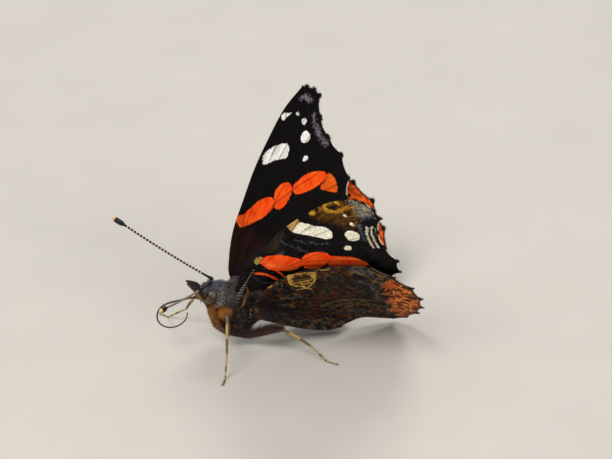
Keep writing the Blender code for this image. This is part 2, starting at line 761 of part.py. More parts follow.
def main():
    """Build the butterfly."""
    for obj in list(bpy.data.objects):
        bpy.data.objects.remove(obj)
    mats = {
        "thorax": material("thorax fur", (0.070, 0.055, 0.050), 0.8),
        "head": material("head fur", (0.080, 0.065, 0.055), 0.8),
        "abdomen": material("abdomen fur", (0.045, 0.030, 0.024), 0.8),
        "eye": material("compound eye", (0.110, 0.045, 0.012), 0.25),
        "palp": material("palp scales", (0.060, 0.040, 0.035), 0.7),
        "tongue": material("tongue", (0.030, 0.018, 0.016), 0.4),
        "antenna": material("antenna shaft", (0.090, 0.080, 0.065), 0.5),
        "club": material("antenna club", (0.012, 0.010, 0.010), 0.5),
        "forewing": material("forewing scales", (0.014, 0.010, 0.010), 0.7),
        "hindwing": material("hindwing scales", (0.040, 0.024, 0.018), 0.7),
        "thigh": material("thigh scales", (0.120, 0.060, 0.030), 0.7),
        "shin": material("shin scales", (0.300, 0.220, 0.080), 0.6),
        "foot": material("foot", (0.250, 0.190, 0.090), 0.6),
    }
    build_thorax(mats)
    build_abdomen(mats)
    build_head(mats)
    build_palps(mats)
    build_tongue(mats)
    build_antennae(mats)
    build_legs(mats)
    build_wings(mats)


main()
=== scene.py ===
"""Red admiral butterfly, dressed over its CAD frame.

Tables are in millimetres and finished meshes in metres. In the body frame x is
the animal's left, s forward and h up, from a point between the forewing roots.
A flat wing place has x from the root outwards and y towards the head.
"""

from __future__ import annotations

import logging
import math
from dataclasses import dataclass, field
from enum import Enum

import bpy
import numpy as np
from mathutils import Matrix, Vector
from mathutils.geometry import delaunay_2d_cdt


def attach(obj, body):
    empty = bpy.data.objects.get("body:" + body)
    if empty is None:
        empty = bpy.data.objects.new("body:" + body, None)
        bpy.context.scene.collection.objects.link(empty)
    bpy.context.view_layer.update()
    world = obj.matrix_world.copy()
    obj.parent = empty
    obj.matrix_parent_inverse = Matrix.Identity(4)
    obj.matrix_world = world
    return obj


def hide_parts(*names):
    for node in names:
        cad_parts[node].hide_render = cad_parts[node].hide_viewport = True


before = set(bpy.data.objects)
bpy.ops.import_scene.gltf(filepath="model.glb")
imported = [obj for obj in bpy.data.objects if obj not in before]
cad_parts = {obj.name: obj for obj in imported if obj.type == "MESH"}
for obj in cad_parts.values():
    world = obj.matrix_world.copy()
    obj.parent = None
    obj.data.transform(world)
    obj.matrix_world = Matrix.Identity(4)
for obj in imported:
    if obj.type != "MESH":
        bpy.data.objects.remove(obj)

log = logging.getLogger("red_admiral")

MM = 0.001
SHIFT = np.array((1.77, 5.29, -10.29))
BODY_PITCH = math.radians(22.3)
BODY_ROLL = math.radians(-3.3)
FLAT_TO_UV = 0.02
BAKE_PATCH = 0.003


# ---------------------------------------------------------------- small tools


def hex_colour(code: str) -> tuple[float, float, float, float]:
    """Turn an sRGB hex colour to linear values with full opacity."""
    parts = [int(code[i:i + 2], 16) / 255 for i in (1, 3, 5)]
    linear = [c / 12.92 if c <= 0.04045 else ((c + 0.055) / 1.055) ** 2.4 for c in parts]
    return (*linear, 1.0)


def add_node(
    tree: bpy.types.NodeTree,
    kind: str,
    settings: dict | None = None,
    inputs: dict | None = None,
) -> bpy.types.Node:
    """Add a shader node with its settings, values and links.

    Args:
        tree: Node tree that gets the node.
        kind: Blender's name of the node type.
        settings: Properties of the node.
        inputs: Value or linked socket for each input, by name or number.

    Returns:
        The new node.
    """
    made = tree.nodes.new(kind)
    for key, value in (settings or {}).items():
        setattr(made, key, value)
    for key, value in (inputs or {}).items():
        if isinstance(value, bpy.types.NodeSocket):
            tree.links.new(value, made.inputs[key])
        else:
            made.inputs[key].default_value = value
    return made


def turn_about(axis: np.ndarray, angle: float) -> np.ndarray:
    """Rotation matrix about an axis.

    Args:
        axis: Direction of the axis.
        angle: Turn in radians.

    Returns:
        A 3 by 3 matrix.
    """
    x, y, z = np.asarray(axis, float) / np.linalg.norm(axis)
    cross = np.array(((0, -z, y), (z, 0, -x), (-y, x, 0)))
    return np.eye(3) + math.sin(angle) * cross + (1 - math.cos(angle)) * cross @ cross


def body_axes() -> np.ndarray:
    """Left, forward and up of the pitched and rolled body, one in each row."""
    forward = np.array((0.0, -math.cos(BODY_PITCH), math.sin(BODY_PITCH)))
    upward = np.array((0.0, math.sin(BODY_PITCH), math.cos(BODY_PITCH)))
    roll = turn_about(forward, BODY_ROLL)
    return np.stack([roll @ np.array((1.0, 0.0, 0.0)), roll @ forward, roll @ upward])


AXES = body_axes()


def from_body(points: np.ndarray) -> np.ndarray:
    """World millimetres of places in the body frame."""
    return np.atleast_2d(points) @ AXES


def to_body(points: np.ndarray) -> np.ndarray:
    """Body-frame millimetres of finished places in metres."""
    return (np.atleast_2d(points) / MM + SHIFT) @ AXES.T


def to_metres(points: np.ndarray) -> np.ndarray:
    """Finished places in metres of world millimetres."""
    return (np.atleast_2d(points) - SHIFT) * MM


def smooth_curve(points: list, count: int, closed: bool = False) -> np.ndarray:
    """Evenly spaced places on a smooth curve through the given ones.

    Args:
        points: Places that the curve passes through.
        count: How many places come back.
        closed: Whether the curve returns to its start.

    Returns:
        The places, one in each row.
    """
    pts = np.asarray(points, float)
    if closed:
        ends = np.vstack([pts[-1:], pts, pts[:2]])
    else:
        ends = np.vstack([2 * pts[:1] - pts[1:2], pts, 2 * pts[-1:] - pts[-2:-1]])
    t = (np.arange(16) / 16)[:, None]
    rows = []
    for i in range(1, len(ends) - 2):
        a, b, c, d = ends[i - 1:i + 3]
        rows.append(0.5 * (2 * b + (c - a) * t + (2 * a - 5 * b + 4 * c - d) * t ** 2
                           + (3 * b - a - 3 * c + d) * t ** 3))
    dense = np.vstack(rows + [ends[-2][None]])
    far = np.concatenate([[0.0], np.cumsum(np.linalg.norm(np.diff(dense, axis=0), axis=1))])
    want = np.linspace(0.0, far[-1], count + 1)[:-1] if closed else np.linspace(0.0, far[-1], count)
    return np.stack([np.interp(want, far, dense[:, k]) for k in range(dense.shape[1])], 1)


def ease(value: np.ndarray, low: float, high: float) -> np.ndarray:
    """Smooth step of a value from low to high."""
    t = np.clip((np.asarray(value, float) - low) / (high - low), 0.0, 1.0)
    return t * t * (3 - 2 * t)


def tucked(points: np.ndarray, tuck: float) -> np.ndarray:
    """Flat hindwing places drawn in by a share of their reach, at the front of the wing only."""
    out = np.array(points, float)
    share = ease(out[:, 0], TUCK_FROM[0], TUCK_FROM[0] + TUCK_RUN) * ease(out[:, 1], TUCK_FROM[1], TUCK_FROM[1] + TUCK_RUN)
    out[:, 0] *= 1 - tuck * share
    return out


def line_distance(points: np.ndarray, line: np.ndarray) -> np.ndarray:
    """Distance in millimetres of flat points to a flat line of many pieces."""
    best = np.full(len(points), 1e9)
    for a, b in zip(line, line[1:]):
        d = b - a
        t = np.clip((points - a) @ d / max(d @ d, 1e-12), 0.0, 1.0)
        best = np.minimum(best, np.linalg.norm(points - a - t[:, None] * d, axis=1))
    return best


def inside_loop(points: np.ndarray, loop: np.ndarray) -> np.ndarray:
    """Whether each flat point is inside a closed loop."""
    hit = np.zeros(len(points), bool)
    for a, b in zip(loop, np.roll(loop, -1, axis=0)):
        if a[1] == b[1]:
            continue
        crosses = (a[1] > points[:, 1]) != (b[1] > points[:, 1])
        hit ^= crosses & (points[:, 0] < (b[0] - a[0]) * (points[:, 1] - a[1]) / (b[1] - a[1]) + a[0])
    return hit


def make_object(name: str, points: np.ndarray, faces: list, materials: list) -> bpy.types.Object:
    """Make a mesh object at the origin.

    Args:
        name: Name of the piece.
        points: Places in metres.
        faces: Tuples of point numbers.
        materials: Materials in slot order.

    Returns:
        The linked object.
    """
    mesh = bpy.data.meshes.new(name)
    mesh.from_pydata([tuple(p) for p in points], [], faces)
    for finish in materials:
        mesh.materials.append(finish)
    made = bpy.data.objects.new(name, mesh)
    bpy.context.scene.collection.objects.link(made)
    return made


def write_attribute(mesh: bpy.types.Mesh, name: str, values: np.ndarray) -> None:
    """Store one number or one colour for each vertex."""
    if values.ndim == 1:
        mesh.attributes.new(name, "FLOAT", "POINT").data.foreach_set("value", values.astype(np.float32))
    else:
        full = np.concatenate([values, np.ones((len(values), 1))], 1).astype(np.float32)
        mesh.attributes.new(name, "FLOAT_COLOR", "POINT").data.foreach_set("color", full.ravel())


def write_uv(mesh: bpy.types.Mesh, name: str, places: np.ndarray) -> None:
    """Store a UV map from one place for each vertex."""
    corner = np.empty(len(mesh.loops), np.int32)
    mesh.loops.foreach_get("vertex_index", corner)
    layer = mesh.uv_layers.new(name=name)
    layer.uv.foreach_set("vector", places[corner].astype(np.float32).ravel())


def smooth_faces(piece: bpy.types.Object) -> None:
    """Shade a piece smoothly."""
    piece.data.polygons.foreach_set("use_smooth", np.ones(len(piece.data.polygons), bool))


def finish_piece(piece: bpy.types.Object, nodes: tuple[str, ...] = ()) -> bpy.types.Object:
    """Let a piece ride on the body and stand for its nodes."""
    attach(piece, "root")
    if nodes:
        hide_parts(*nodes)
    log.info("%s: %d vertices", piece.name, len(piece.data.vertices))
    return piece


# ---------------------------------------------------------------- finishes


@dataclass(frozen=True)
class ScaleMark:
    """One colour of wing scales, where a distance attribute is above zero."""

    attribute: str
    colour: str
    other: str
    soft: float = 0.05
    ragged: float = 0.16
    strength: float = 1.0


@dataclass(frozen=True)
class Marble:
    """Clouds, specks or wavy threads of one scale colour, with their real size in millimetres."""

    colour: str
    length: float
    width: float
    low: float
    high: float
    strength: float
    thread: bool = False
    within: str = ""
    shift: float = 0.0


@dataclass(frozen=True)
class WingFinish:
    """Wing scales: overlapping flat chitin shingles, matt with almost no gloss."""

    name: str
    ground: str
    ground_other: str
    marks: tuple[ScaleMark, ...]
    vein: str
    vein_strength: float = 0.55
    marbles: tuple[Marble, ...] = ()
    roughness: float = 0.62
    scale_length: float = 0.24
    scale_width: float = 0.15

    def build(self) -> bpy.types.Material:
        """Make the material.

        Returns:
            The material, which reads the wing's own UV map and mark attributes.
        """
        mat = bpy.data.materials.new(self.name)
        mat.use_nodes = True
        tree = mat.node_tree
        shader = tree.nodes["Principled BSDF"]
        flat = add_node(tree, "ShaderNodeUVMap", {"uv_map": "flat"})
        place = add_node(tree, "ShaderNodeVectorMath", {"operation": "SCALE"},
                         {0: flat.outputs[0], "Scale": 1 / FLAT_TO_UV})
        # Real scales are about 0.2 by 0.07 mm; they are drawn a little coarser so that they show
        shingle = add_node(tree, "ShaderNodeMapping", None,
                           {"Vector": place.outputs[0],
                            "Scale": (1 / self.scale_length, 1 / self.scale_width, 1.0)})
        cell = add_node(tree, "ShaderNodeTexVoronoi", {"voronoi_dimensions": "2D"},
                        {"Vector": shingle.outputs[0], "Scale": 1.0, "Randomness": 0.75})
        tone = add_node(tree, "ShaderNodeSeparateColor", None, {0: cell.outputs["Color"]})
        cloud = add_node(tree, "ShaderNodeTexNoise", {"noise_dimensions": "2D"},
                         {"Vector": place.outputs[0], "Scale": 0.55, "Detail": 6.0, "Roughness": 0.62})
        blend = add_node(tree, "ShaderNodeMapRange", {"interpolation_type": "SMOOTHSTEP"},
                         {"Value": cloud.outputs[0], "From Min": 0.40, "From Max": 0.62})
        colour = add_node(tree, "ShaderNodeMix", {"data_type": "RGBA"},
                          {0: blend.outputs[0], 6: hex_colour(self.ground),
                           7: hex_colour(self.ground_other)}).outputs[2]
        for marble in self.marbles:
            if not marble.within:
                colour = self.vein_cloud(tree, colour, marble, place)
        for mark in self.marks:
            colour = self.paint(tree, colour, mark, tone, cloud)
            for marble in self.marbles:
                if marble.within == mark.attribute:
                    colour = self.vein_cloud(tree, colour, marble, place)
        vein = add_node(tree, "ShaderNodeAttribute", {"attribute_name": "vein"})
        thread = add_node(tree, "ShaderNodeMapRange", {"interpolation_type": "SMOOTHSTEP"},
                          {"Value": vein.outputs["Fac"], "From Min": 0.05, "From Max": 0.14,
                           "To Min": self.vein_strength, "To Max": 0.0})
        colour = add_node(tree, "ShaderNodeMix", {"data_type": "RGBA"},
                          {0: thread.outputs[0], 6: colour, 7: hex_colour(self.vein)}).outputs[2]
        speck = add_node(tree, "ShaderNodeMapRange", None,
                         {"Value": tone.outputs[0], "To Min": 0.80, "To Max": 1.22})
        colour = add_node(tree, "ShaderNodeVectorMath", {"operation": "SCALE"},
                          {0: colour, "Scale": speck.outputs[0]}).outputs[0]
        bump = add_node(tree, "ShaderNodeBump", None,
                        {"Strength": 0.35, "Distance": 0.00002, "Height": cell.outputs["Distance"]})
        shine = add_node(tree, "ShaderNodeMapRange", None,
                         {"Value": tone.outputs[1], "To Min": self.roughness - 0.08,
                          "To Max": self.roughness + 0.12})
        tree.links.new(colour, shader.inputs["Base Color"])
        tree.links.new(shine.outputs[0], shader.inputs["Roughness"])
        tree.links.new(bump.outputs[0], shader.inputs["Normal"])
        shader.inputs["Specular IOR Level"].default_value = 0.06
        return mat

    def vein_cloud(self, tree: bpy.types.NodeTree, below: bpy.types.NodeSocket, marble: Marble,
                   place: bpy.types.Node) -> bpy.types.NodeSocket:
        """Lay one marbling over the colours below it.

        Args:
            tree: The wing material's nodes.
            below: Colour socket under the marbling.
            marble: What is laid.
            place: Node that gives flat wing millimetres.

        Returns:
            The colour socket with the marbling on it.
        """
        moved = add_node(tree, "ShaderNodeMapping", None,
                         {"Vector": place.outputs[0], "Location": (marble.shift, 2 * marble.shift, 0.0),
                          "Scale": (1 / marble.length, 1 / marble.width, 1.0)})
        value = add_node(tree, "ShaderNodeTexNoise", {"noise_dimensions": "2D"},
                         {"Vector": moved.outputs[0], "Scale": 1.0, "Detail": 2.4, "Roughness": 0.5,
                          "Distortion": 0.5}).outputs[0]
        if marble.thread:
            middle = add_node(tree, "ShaderNodeMath", {"operation": "SUBTRACT"}, {0: value, 1: 0.5})
            value = add_node(tree, "ShaderNodeMath", {"operation": "ABSOLUTE"}, {0: middle.outputs[0]}).outputs[0]
        mask = add_node(tree, "ShaderNodeMapRange", {"interpolation_type": "SMOOTHSTEP"},
                        {"Value": value, "From Min": marble.low, "From Max": marble.high,
                         "To Max": marble.strength}).outputs[0]
        if marble.within:
            reach = add_node(tree, "ShaderNodeAttribute", {"attribute_name": marble.within})
            inside = add_node(tree, "ShaderNodeMapRange", {"interpolation_type": "SMOOTHSTEP"},
                              {"Value": reach.outputs["Fac"], "From Min": 0.0, "From Max": 0.3})
            mask = add_node(tree, "ShaderNodeMath", {"operation": "MULTIPLY"},
                            {0: mask, 1: inside.outputs[0]}).outputs[0]
        return add_node(tree, "ShaderNodeMix", {"data_type": "RGBA"},
                        {0: mask, 6: below, 7: hex_colour(marble.colour)}).outputs[2]

    def paint(
        self,
        tree: bpy.types.NodeTree,
        below: bpy.types.NodeSocket,
        mark: ScaleMark,
        tone: bpy.types.Node,
        cloud: bpy.types.Node,
    ) -> bpy.types.NodeSocket:
        """Lay one mark over the colours below it.

        Args:
            tree: The wing material's nodes.
            below: Colour socket under the mark.
            mark: What is painted.
            tone: Random numbers of each scale.
            cloud: Slow noise that varies the mark's colour.

        Returns:
            The colour socket with the mark on it.
        """
        reach = add_node(tree, "ShaderNodeAttribute", {"attribute_name": mark.attribute})
        jitter = add_node(tree, "ShaderNodeMath", {"operation": "MULTIPLY_ADD"},
                          {0: tone.outputs[2], 1: mark.ragged, 2: reach.outputs["Fac"]})
        mask = add_node(tree, "ShaderNodeMapRange", {"interpolation_type": "SMOOTHSTEP"},
                        {"Value": jitter.outputs[0], "From Min": mark.ragged / 2 - mark.soft,
                         "From Max": mark.ragged / 2 + mark.soft, "To Max": mark.strength})
        vary = add_node(tree, "ShaderNodeMapRange", None,
                        {"Value": cloud.outputs[0], "From Min": 0.35, "From Max": 0.65})
        own = add_node(tree, "ShaderNodeMix", {"data_type": "RGBA"},
                       {0: vary.outputs[0], 6: hex_colour(mark.colour), 7: hex_colour(mark.other)})
        return add_node(tree, "ShaderNodeMix", {"data_type": "RGBA"},
                        {0: mask.outputs[0], 6: below, 7: own.outputs[2]}).outputs[2]


@dataclass(frozen=True)
class CoatFinish:
    """Insect hair and hair-like scales with an even faint sheen: darker at the root, which is painted shade deep in
    the coat, and paler at the tip, partly their own colour and partly painted light.
    """

    name: str
    # Colour factors at root and tip: painted shade at the root, painted light with some real paleness at the tip
    root: float = 0.55
    tip: float = 1.25
    roughness: float = 0.72
    sheen: float = 0.05

    def build(self) -> bpy.types.Material:
        """Make the material, which reads the coat's own colour and tip attributes."""
        mat = bpy.data.materials.new(self.name)
        mat.use_nodes = True
        tree = mat.node_tree
        shader = tree.nodes["Principled BSDF"]
        coat = add_node(tree, "ShaderNodeAttribute", {"attribute_name": "coat"})
        tip = add_node(tree, "ShaderNodeAttribute", {"attribute_name": "tip"})
        # Darker towards the root and paler towards the tip: painted shade and painted light within the coat
        lift = add_node(tree, "ShaderNodeMapRange", None,
                        {"Value": tip.outputs["Fac"], "To Min": self.root, "To Max": self.tip})
        place = add_node(tree, "ShaderNodeTexCoord")
        noise = add_node(tree, "ShaderNodeTexNoise", None,
                         {"Vector": place.outputs["Object"], "Scale": 2600.0, "Detail": 3.0})
        grain = add_node(tree, "ShaderNodeMapRange", None,
                         {"Value": noise.outputs[0], "From Min": 0.3, "From Max": 0.7,
                          "To Min": 0.75, "To Max": 1.25})
        both = add_node(tree, "ShaderNodeMath", {"operation": "MULTIPLY"},
                        {0: lift.outputs[0], 1: grain.outputs[0]})
        colour = add_node(tree, "ShaderNodeVectorMath", {"operation": "SCALE"},
                          {0: coat.outputs["Color"], "Scale": both.outputs[0]})
        bump = add_node(tree, "ShaderNodeBump", None,
                        {"Strength": 0.5, "Distance": 0.00005, "Height": noise.outputs[0]})
        tree.links.new(colour.outputs[0], shader.inputs["Base Color"])
        tree.links.new(bump.outputs[0], shader.inputs["Normal"])
        shader.inputs["Roughness"].default_value = self.roughness
        shader.inputs["Specular IOR Level"].default_value = 0.14
        shader.inputs["Sheen Weight"].default_value = self.sheen
        return mat


@dataclass(frozen=True)
class ChitinFinish:
    """Hard insect cuticle with fine scales: semi-gloss, with a fine grain."""

    name: str
    colour: str
    other: str
    roughness: float = 0.42
    grain: float = 0.12
    banded: bool = False
    gloss: float = 0.35

    def build(self) -> bpy.types.Material:
        """Make the material; a banded one reads the band attribute of its piece."""
        mat = bpy.data.materials.new(self.name)
        mat.use_nodes = True
        tree = mat.node_tree
        shader = tree.nodes["Principled BSDF"]
        place = add_node(tree, "ShaderNodeTexCoord")
        noise = add_node(tree, "ShaderNodeTexNoise", None,
                         {"Vector": place.outputs["Object"], "Scale": 1 / (self.grain * MM),
                          "Detail": 4.0, "Roughness": 0.6})
        if self.banded:
            band = add_node(tree, "ShaderNodeAttribute", {"attribute_name": "band"})
            mask = add_node(tree, "ShaderNodeMapRange", {"interpolation_type": "SMOOTHSTEP"},
                            {"Value": band.outputs["Fac"], "From Min": 0.42, "From Max": 0.58})
        else:
            mask = add_node(tree, "ShaderNodeMapRange", {"interpolation_type": "SMOOTHSTEP"},
                            {"Value": noise.outputs[0], "From Min": 0.38, "From Max": 0.62})
        colour = add_node(tree, "ShaderNodeMix", {"data_type": "RGBA"},
                          {0: mask.outputs[0], 6: hex_colour(self.colour), 7: hex_colour(self.other)})
        bump = add_node(tree, "ShaderNodeBump", None,
                        {"Strength": 0.4, "Distance": 0.00003, "Height": noise.outputs[0]})
        shine = add_node(tree, "ShaderNodeMapRange", None,
                         {"Value": noise.outputs[0], "To Min": self.roughness - 0.1,
                          "To Max": self.roughness + 0.15})
        tree.links.new(colour.outputs[2], shader.inputs["Base Color"])
        tree.links.new(bump.outputs[0], shader.inputs["Normal"])
        tree.links.new(shine.outputs[0], shader.inputs["Roughness"])
        shader.inputs["Specular IOR Level"].default_value = self.gloss
        return mat


@dataclass(frozen=True)
class EyeFinish:
    """Compound eye: a glossy dome of thousands of lenses over brown pigment."""

    name: str = "compound_eye_lenses"
    pigment: str = "#3c2c12"
    # Paler olive at the top of each eye: painted light from above
    lit_top_olive: str = "#484024"
    stripe: str = "#1c1016"
    lens: float = 0.055

    def build(self) -> bpy.types.Material:
        """Make the material with lens bump, dark bars and a paler olive top, which is painted light from above."""
        mat = bpy.data.materials.new(self.name)
        mat.use_nodes = True
        tree = mat.node_tree
        shader = tree.nodes["Principled BSDF"]
        place = add_node(tree, "ShaderNodeTexCoord")
        # Real lenses are 0.025 mm across, so they are drawn twice as coarse to show
        cell = add_node(tree, "ShaderNodeTexVoronoi", None,
                        {"Vector": place.outputs["Object"], "Scale": 1 / (self.lens * MM),
                         "Randomness": 0.35})
        bar = add_node(tree, "ShaderNodeAttribute", {"attribute_name": "bar"})
        mask = add_node(tree, "ShaderNodeMapRange", {"interpolation_type": "SMOOTHSTEP"},
                        {"Value": bar.outputs["Fac"], "From Min": 0.35, "From Max": 0.7})
        # Towards the top the eye is mixed to paler olive: painted light from above
        high = add_node(tree, "ShaderNodeAttribute", {"attribute_name": "high"})
        shade = add_node(tree, "ShaderNodeMix", {"data_type": "RGBA"},
                         {0: high.outputs["Fac"], 6: hex_colour(self.pigment), 7: hex_colour(self.lit_top_olive)})
        colour = add_node(tree, "ShaderNodeMix", {"data_type": "RGBA"},
                          {0: mask.outputs[0], 6: shade.outputs[2], 7: hex_colour(self.stripe)})
        bump = add_node(tree, "ShaderNodeBump", {"invert": True},
                        {"Strength": 0.3, "Distance": 0.00001, "Height": cell.outputs["Distance"]})
        tree.links.new(colour.outputs[2], shader.inputs["Base Color"])
        tree.links.new(bump.outputs[0], shader.inputs["Normal"])
        shader.inputs["Roughness"].default_value = 0.34
        shader.inputs["Coat Weight"].default_value = 0.15
        return mat


# ---------------------------------------------------------------- wings


class WingKind(Enum):
    """Which pair a wing belongs to."""

    FORE = "forewing"
    HIND = "hindwing"


class Shape(Enum):
    """How a mark's places are read."""

    PATCH = "patch"
    STROKE = "stroke"
    DOT = "dot"


@dataclass(frozen=True)
class Mark:
    """One marking in flat wing places."""

    shape: Shape
    points: tuple[tuple[float, float], ...]
    size: float = 0.2
    stretch: float = 1.0

    def reach(self, places: np.ndarray) -> np.ndarray:
        """Distance inside the mark in millimetres, negative outside it."""
        pts = np.array(self.points, float)
        if self.shape is Shape.DOT:
            gap = (places - pts[0]) / np.array((1.0, self.stretch))
            return self.size - np.linalg.norm(gap, axis=1)
        if self.shape is Shape.STROKE:
            line = smooth_curve(pts, 6 * len(pts)) if len(pts) > 2 else pts
            return self.size / 2 - line_distance(places, line)
        loop = smooth_curve(pts, 5 * len(pts), True)
        away = line_distance(places, np.vstack([loop, loop[:1]]))
        return np.where(inside_loop(places, loop), away, -away) + self.size - 0.2


def patch(*points: tuple[float, float], grow: float = 0.0) -> Mark:
    """A filled marking with rounded corners."""
    return Mark(Shape.PATCH, points, 0.2 + grow)


def stroke(width: float, *points: tuple[float, float]) -> Mark:
    """A marking drawn along a line."""
    return Mark(Shape.STROKE, points, width)


def dot(x: float, y: float, size: float, stretch: float = 1.0) -> Mark:
    """A round or oval spot."""
    return Mark(Shape.DOT, ((x, y),), size, stretch)


def flipped(mark: Mark) -> Mark:
    """The same marking with its second coordinate turned over."""
    return Mark(mark.shape, tuple((x, -y) for x, y in mark.points), mark.size, mark.stretch)


FORE_COSTA = [(0.05, 0.85), (1.6, 1.6), (6.5, 3.0), (12.0, 3.3), (17.0, 3.45), (22.0, 3.05), (27.5, 2.2),
              (32.0, 0.35)]
FORE_INNER = [(19.0, -15.3), (14.0, -11.6), (8.0, -6.6), (3.2, -2.6), (1.3, -1.4), (0.05, -0.95)]
FORE_MARGIN = [(32.0, 0.35), (32.7, -0.6), (32.95, -2.4), (32.5, -4.1), (29.3, -5.7), (27.1, -8.4),
               (25.5, -12.0), (22.4, -14.7), (19.0, -15.3)]
FORE_VEINS = [
    [(0.6, 0.6), (9.0, 2.0), (17.3, 3.3)],
    [(0.6, 0.0), (6.0, 1.2), (12.0, 1.4), (21.5, 3.0)],
    [(12.0, 1.4), (20.0, 1.3), (24.5, 1.2), (28.8, 1.8)],
    [(24.5, 1.2), (32.7, -0.6)],
    [(20.0, 1.3), (26.5, -0.3), (32.95, -2.4)],
    [(12.0, 1.4), (14.6, 0.4), (22.0, -0.7), (28.0, -2.6), (32.5, -4.1)],
    [(14.6, 0.4), (15.0, -1.0), (20.0, -2.8), (25.0, -4.4), (29.3, -5.7)],
    [(12.6, -2.2), (16.6, -3.0), (20.5, -4.8), (24.0, -6.7), (27.1, -8.4)],
    [(1.2, -0.4), (6.0, -0.8), (9.0, -1.4), (12.6, -2.2), (16.8, -5.0), (21.0, -8.6), (25.5, -12.0)],
    [(9.0, -1.4), (13.4, -5.0), (18.0, -9.9), (22.4, -14.7)],
    [(1.3, -0.9), (6.0, -3.6), (12.0, -8.6), (18.6, -14.7)],
]
HIND_COSTA = [(0.6, 1.1), (2.4, 2.3), (5.4, 4.1), (9.8, 5.2), (14.7, 4.9), (18.8, 4.4), (22.2, 3.3)]
HIND_MARGIN = [(22.2, 3.3), (24.1, -0.4), (25.1, -4.2), (24.2, -8.6), (22.0, -12.9), (19.3, -16.6),
               (15.6, -20.0), (11.8, -22.0), (8.4, -22.8)]
HIND_INNER_LEFT = [(-1.9, -1.6), (-2.3, -5.0), (-2.6, -9.5), (-2.4, -13.5), (-1.4, -17.0), (-0.5, -20.0),
                   (-0.4, -26.5)]
HIND_INNER_RIGHT = [(-1.4, -1.6), (-1.4, -5.0), (-1.9, -9.5), (-1.7, -13.5), (0.2, -17.2), (2.3, -20.5),
                    (4.6, -28.0)]
CREASE_LEFT = [(0.9, -1.0), (0.9, -14.0), (-0.5, -20.0), (-1.2, -28.0)]
CREASE_RIGHT = [(0.6, -1.0), (0.8, -12.0), (1.6, -18.0), (3.4, -28.0)]
CREASE_RADIUS = 2.0
TUCK_FROM = (8.0, -13.0)
TUCK_RUN = 8.0
NECK_HALF_WIDTH = 0.7
HIND_VEINS = [
    [(1.3, 1.0), (6.0, 3.4), (13.0, 4.1), (22.2, 3.3)],
    [(1.3, 0.4), (6.5, 1.4), (14.0, 1.6), (24.1, -0.4)],
    [(6.5, 1.4), (9.0, -0.2), (15.5, -1.8), (25.1, -4.2)],
    [(6.5, 1.4), (9.0, -1.8), (15.5, -4.8), (24.2, -8.6)],
    [(8.0, -3.4), (14.5, -8.2), (22.0, -12.9)],
    [(1.3, -0.3), (5.0, -1.9), (8.0, -3.4), (13.0, -9.8), (19.3, -16.6)],
    [(5.0, -1.9), (10.0, -10.0), (15.6, -20.0)],
    [(1.2, -1.0), (5.6, -9.0), (11.8, -22.0)],
]

# Markings are first written with the second number towards the tail, then flipped
FORE_UPPER = {
    "brown": [patch((0, -2), (6, -3.2), (8.5, -2.6), (8, 1), (6, 4), (0, 1.5))],
    "band": [
        patch((8.9, -2.4), (10.8, -1.5), (12.6, -0.4), (13.7, 0.9), (13.9, 2.0), (13.1, 2.4), (12.0, 2.1),
              (10.6, 1.2), (9.3, -0.1), (8.3, -1.4), grow=0.12),
        patch((14.3, 2.2), (15.4, 2.0), (16.8, 2.8), (17.3, 3.9), (16.7, 4.6), (15.8, 4.8), (14.5, 4.6),
              (13.3, 4.0), (12.8, 3.2), (13.3, 2.6), grow=0.12),
        patch((16.9, 4.9), (17.9, 5.2), (19.7, 6.5), (20.8, 8.0), (21.4, 9.7), (20.8, 10.2), (19.6, 9.6),
              (18.2, 8.4), (17.0, 7.0), (16.3, 5.7), grow=0.10),
    ],
    "band_end": [patch((21.5, 10.5), (21.5, 11.5), (20.5, 12.5), (19.4, 13.0), (19.0, 11.6), (18.7, 10.1),
                       (19.2, 9.9), (20.3, 10.4), grow=0.06),
                 patch((8.6, -3.2), (9.5, -2.8), (9.1, -1.9), (8.2, -1.3), (7.8, -2.2), grow=0.04)],
    "pale": [
        patch((19.0, -2.75), (20.0, -2.7), (21.4, -1.6), (22.1, -0.7), (22.9, 0.6), (22.6, 1.5), (21.8, 1.8),
              (20.8, 1.8), (20.3, 1.1), (19.5, -0.4), (18.8, -1.1), (18.1, -2.2), grow=-0.06),
        patch((24.9, 3.0), (25.7, 3.1), (26.2, 3.7), (26.0, 4.5), (25.4, 4.9), (24.6, 4.7), (24.1, 4.0),
              (24.2, 3.3), grow=-0.08),
        patch((21.6, 4.9), (22.2, 4.9), (22.6, 5.4), (22.2, 5.8), (21.7, 5.5)),
        patch((26.9, 2.3), (27.4, 2.1), (27.8, 2.4), (27.7, 3.0), (27.2, 3.1), (26.8, 2.8)),
        dot(27.9, 0.8, 0.33),
        patch((26.3, -2.3), (26.9, -2.0), (27.3, -1.1), (27.6, -0.3), (27.0, -0.8), (26.3, -1.2),
              (25.8, -1.6), grow=-0.03),
    ],
    "smudge": [dot(30.8, 2.0, 0.42, 1.2), stroke(0.55, (28.9, 4.2), (27.7, 5.0), (26.9, 6.0), (26.1, 7.2),
                                                 (25.8, 8.2)),
               stroke(0.4, (30.4, 0.4), (31.0, 1.2))],
    "edge": [],
}
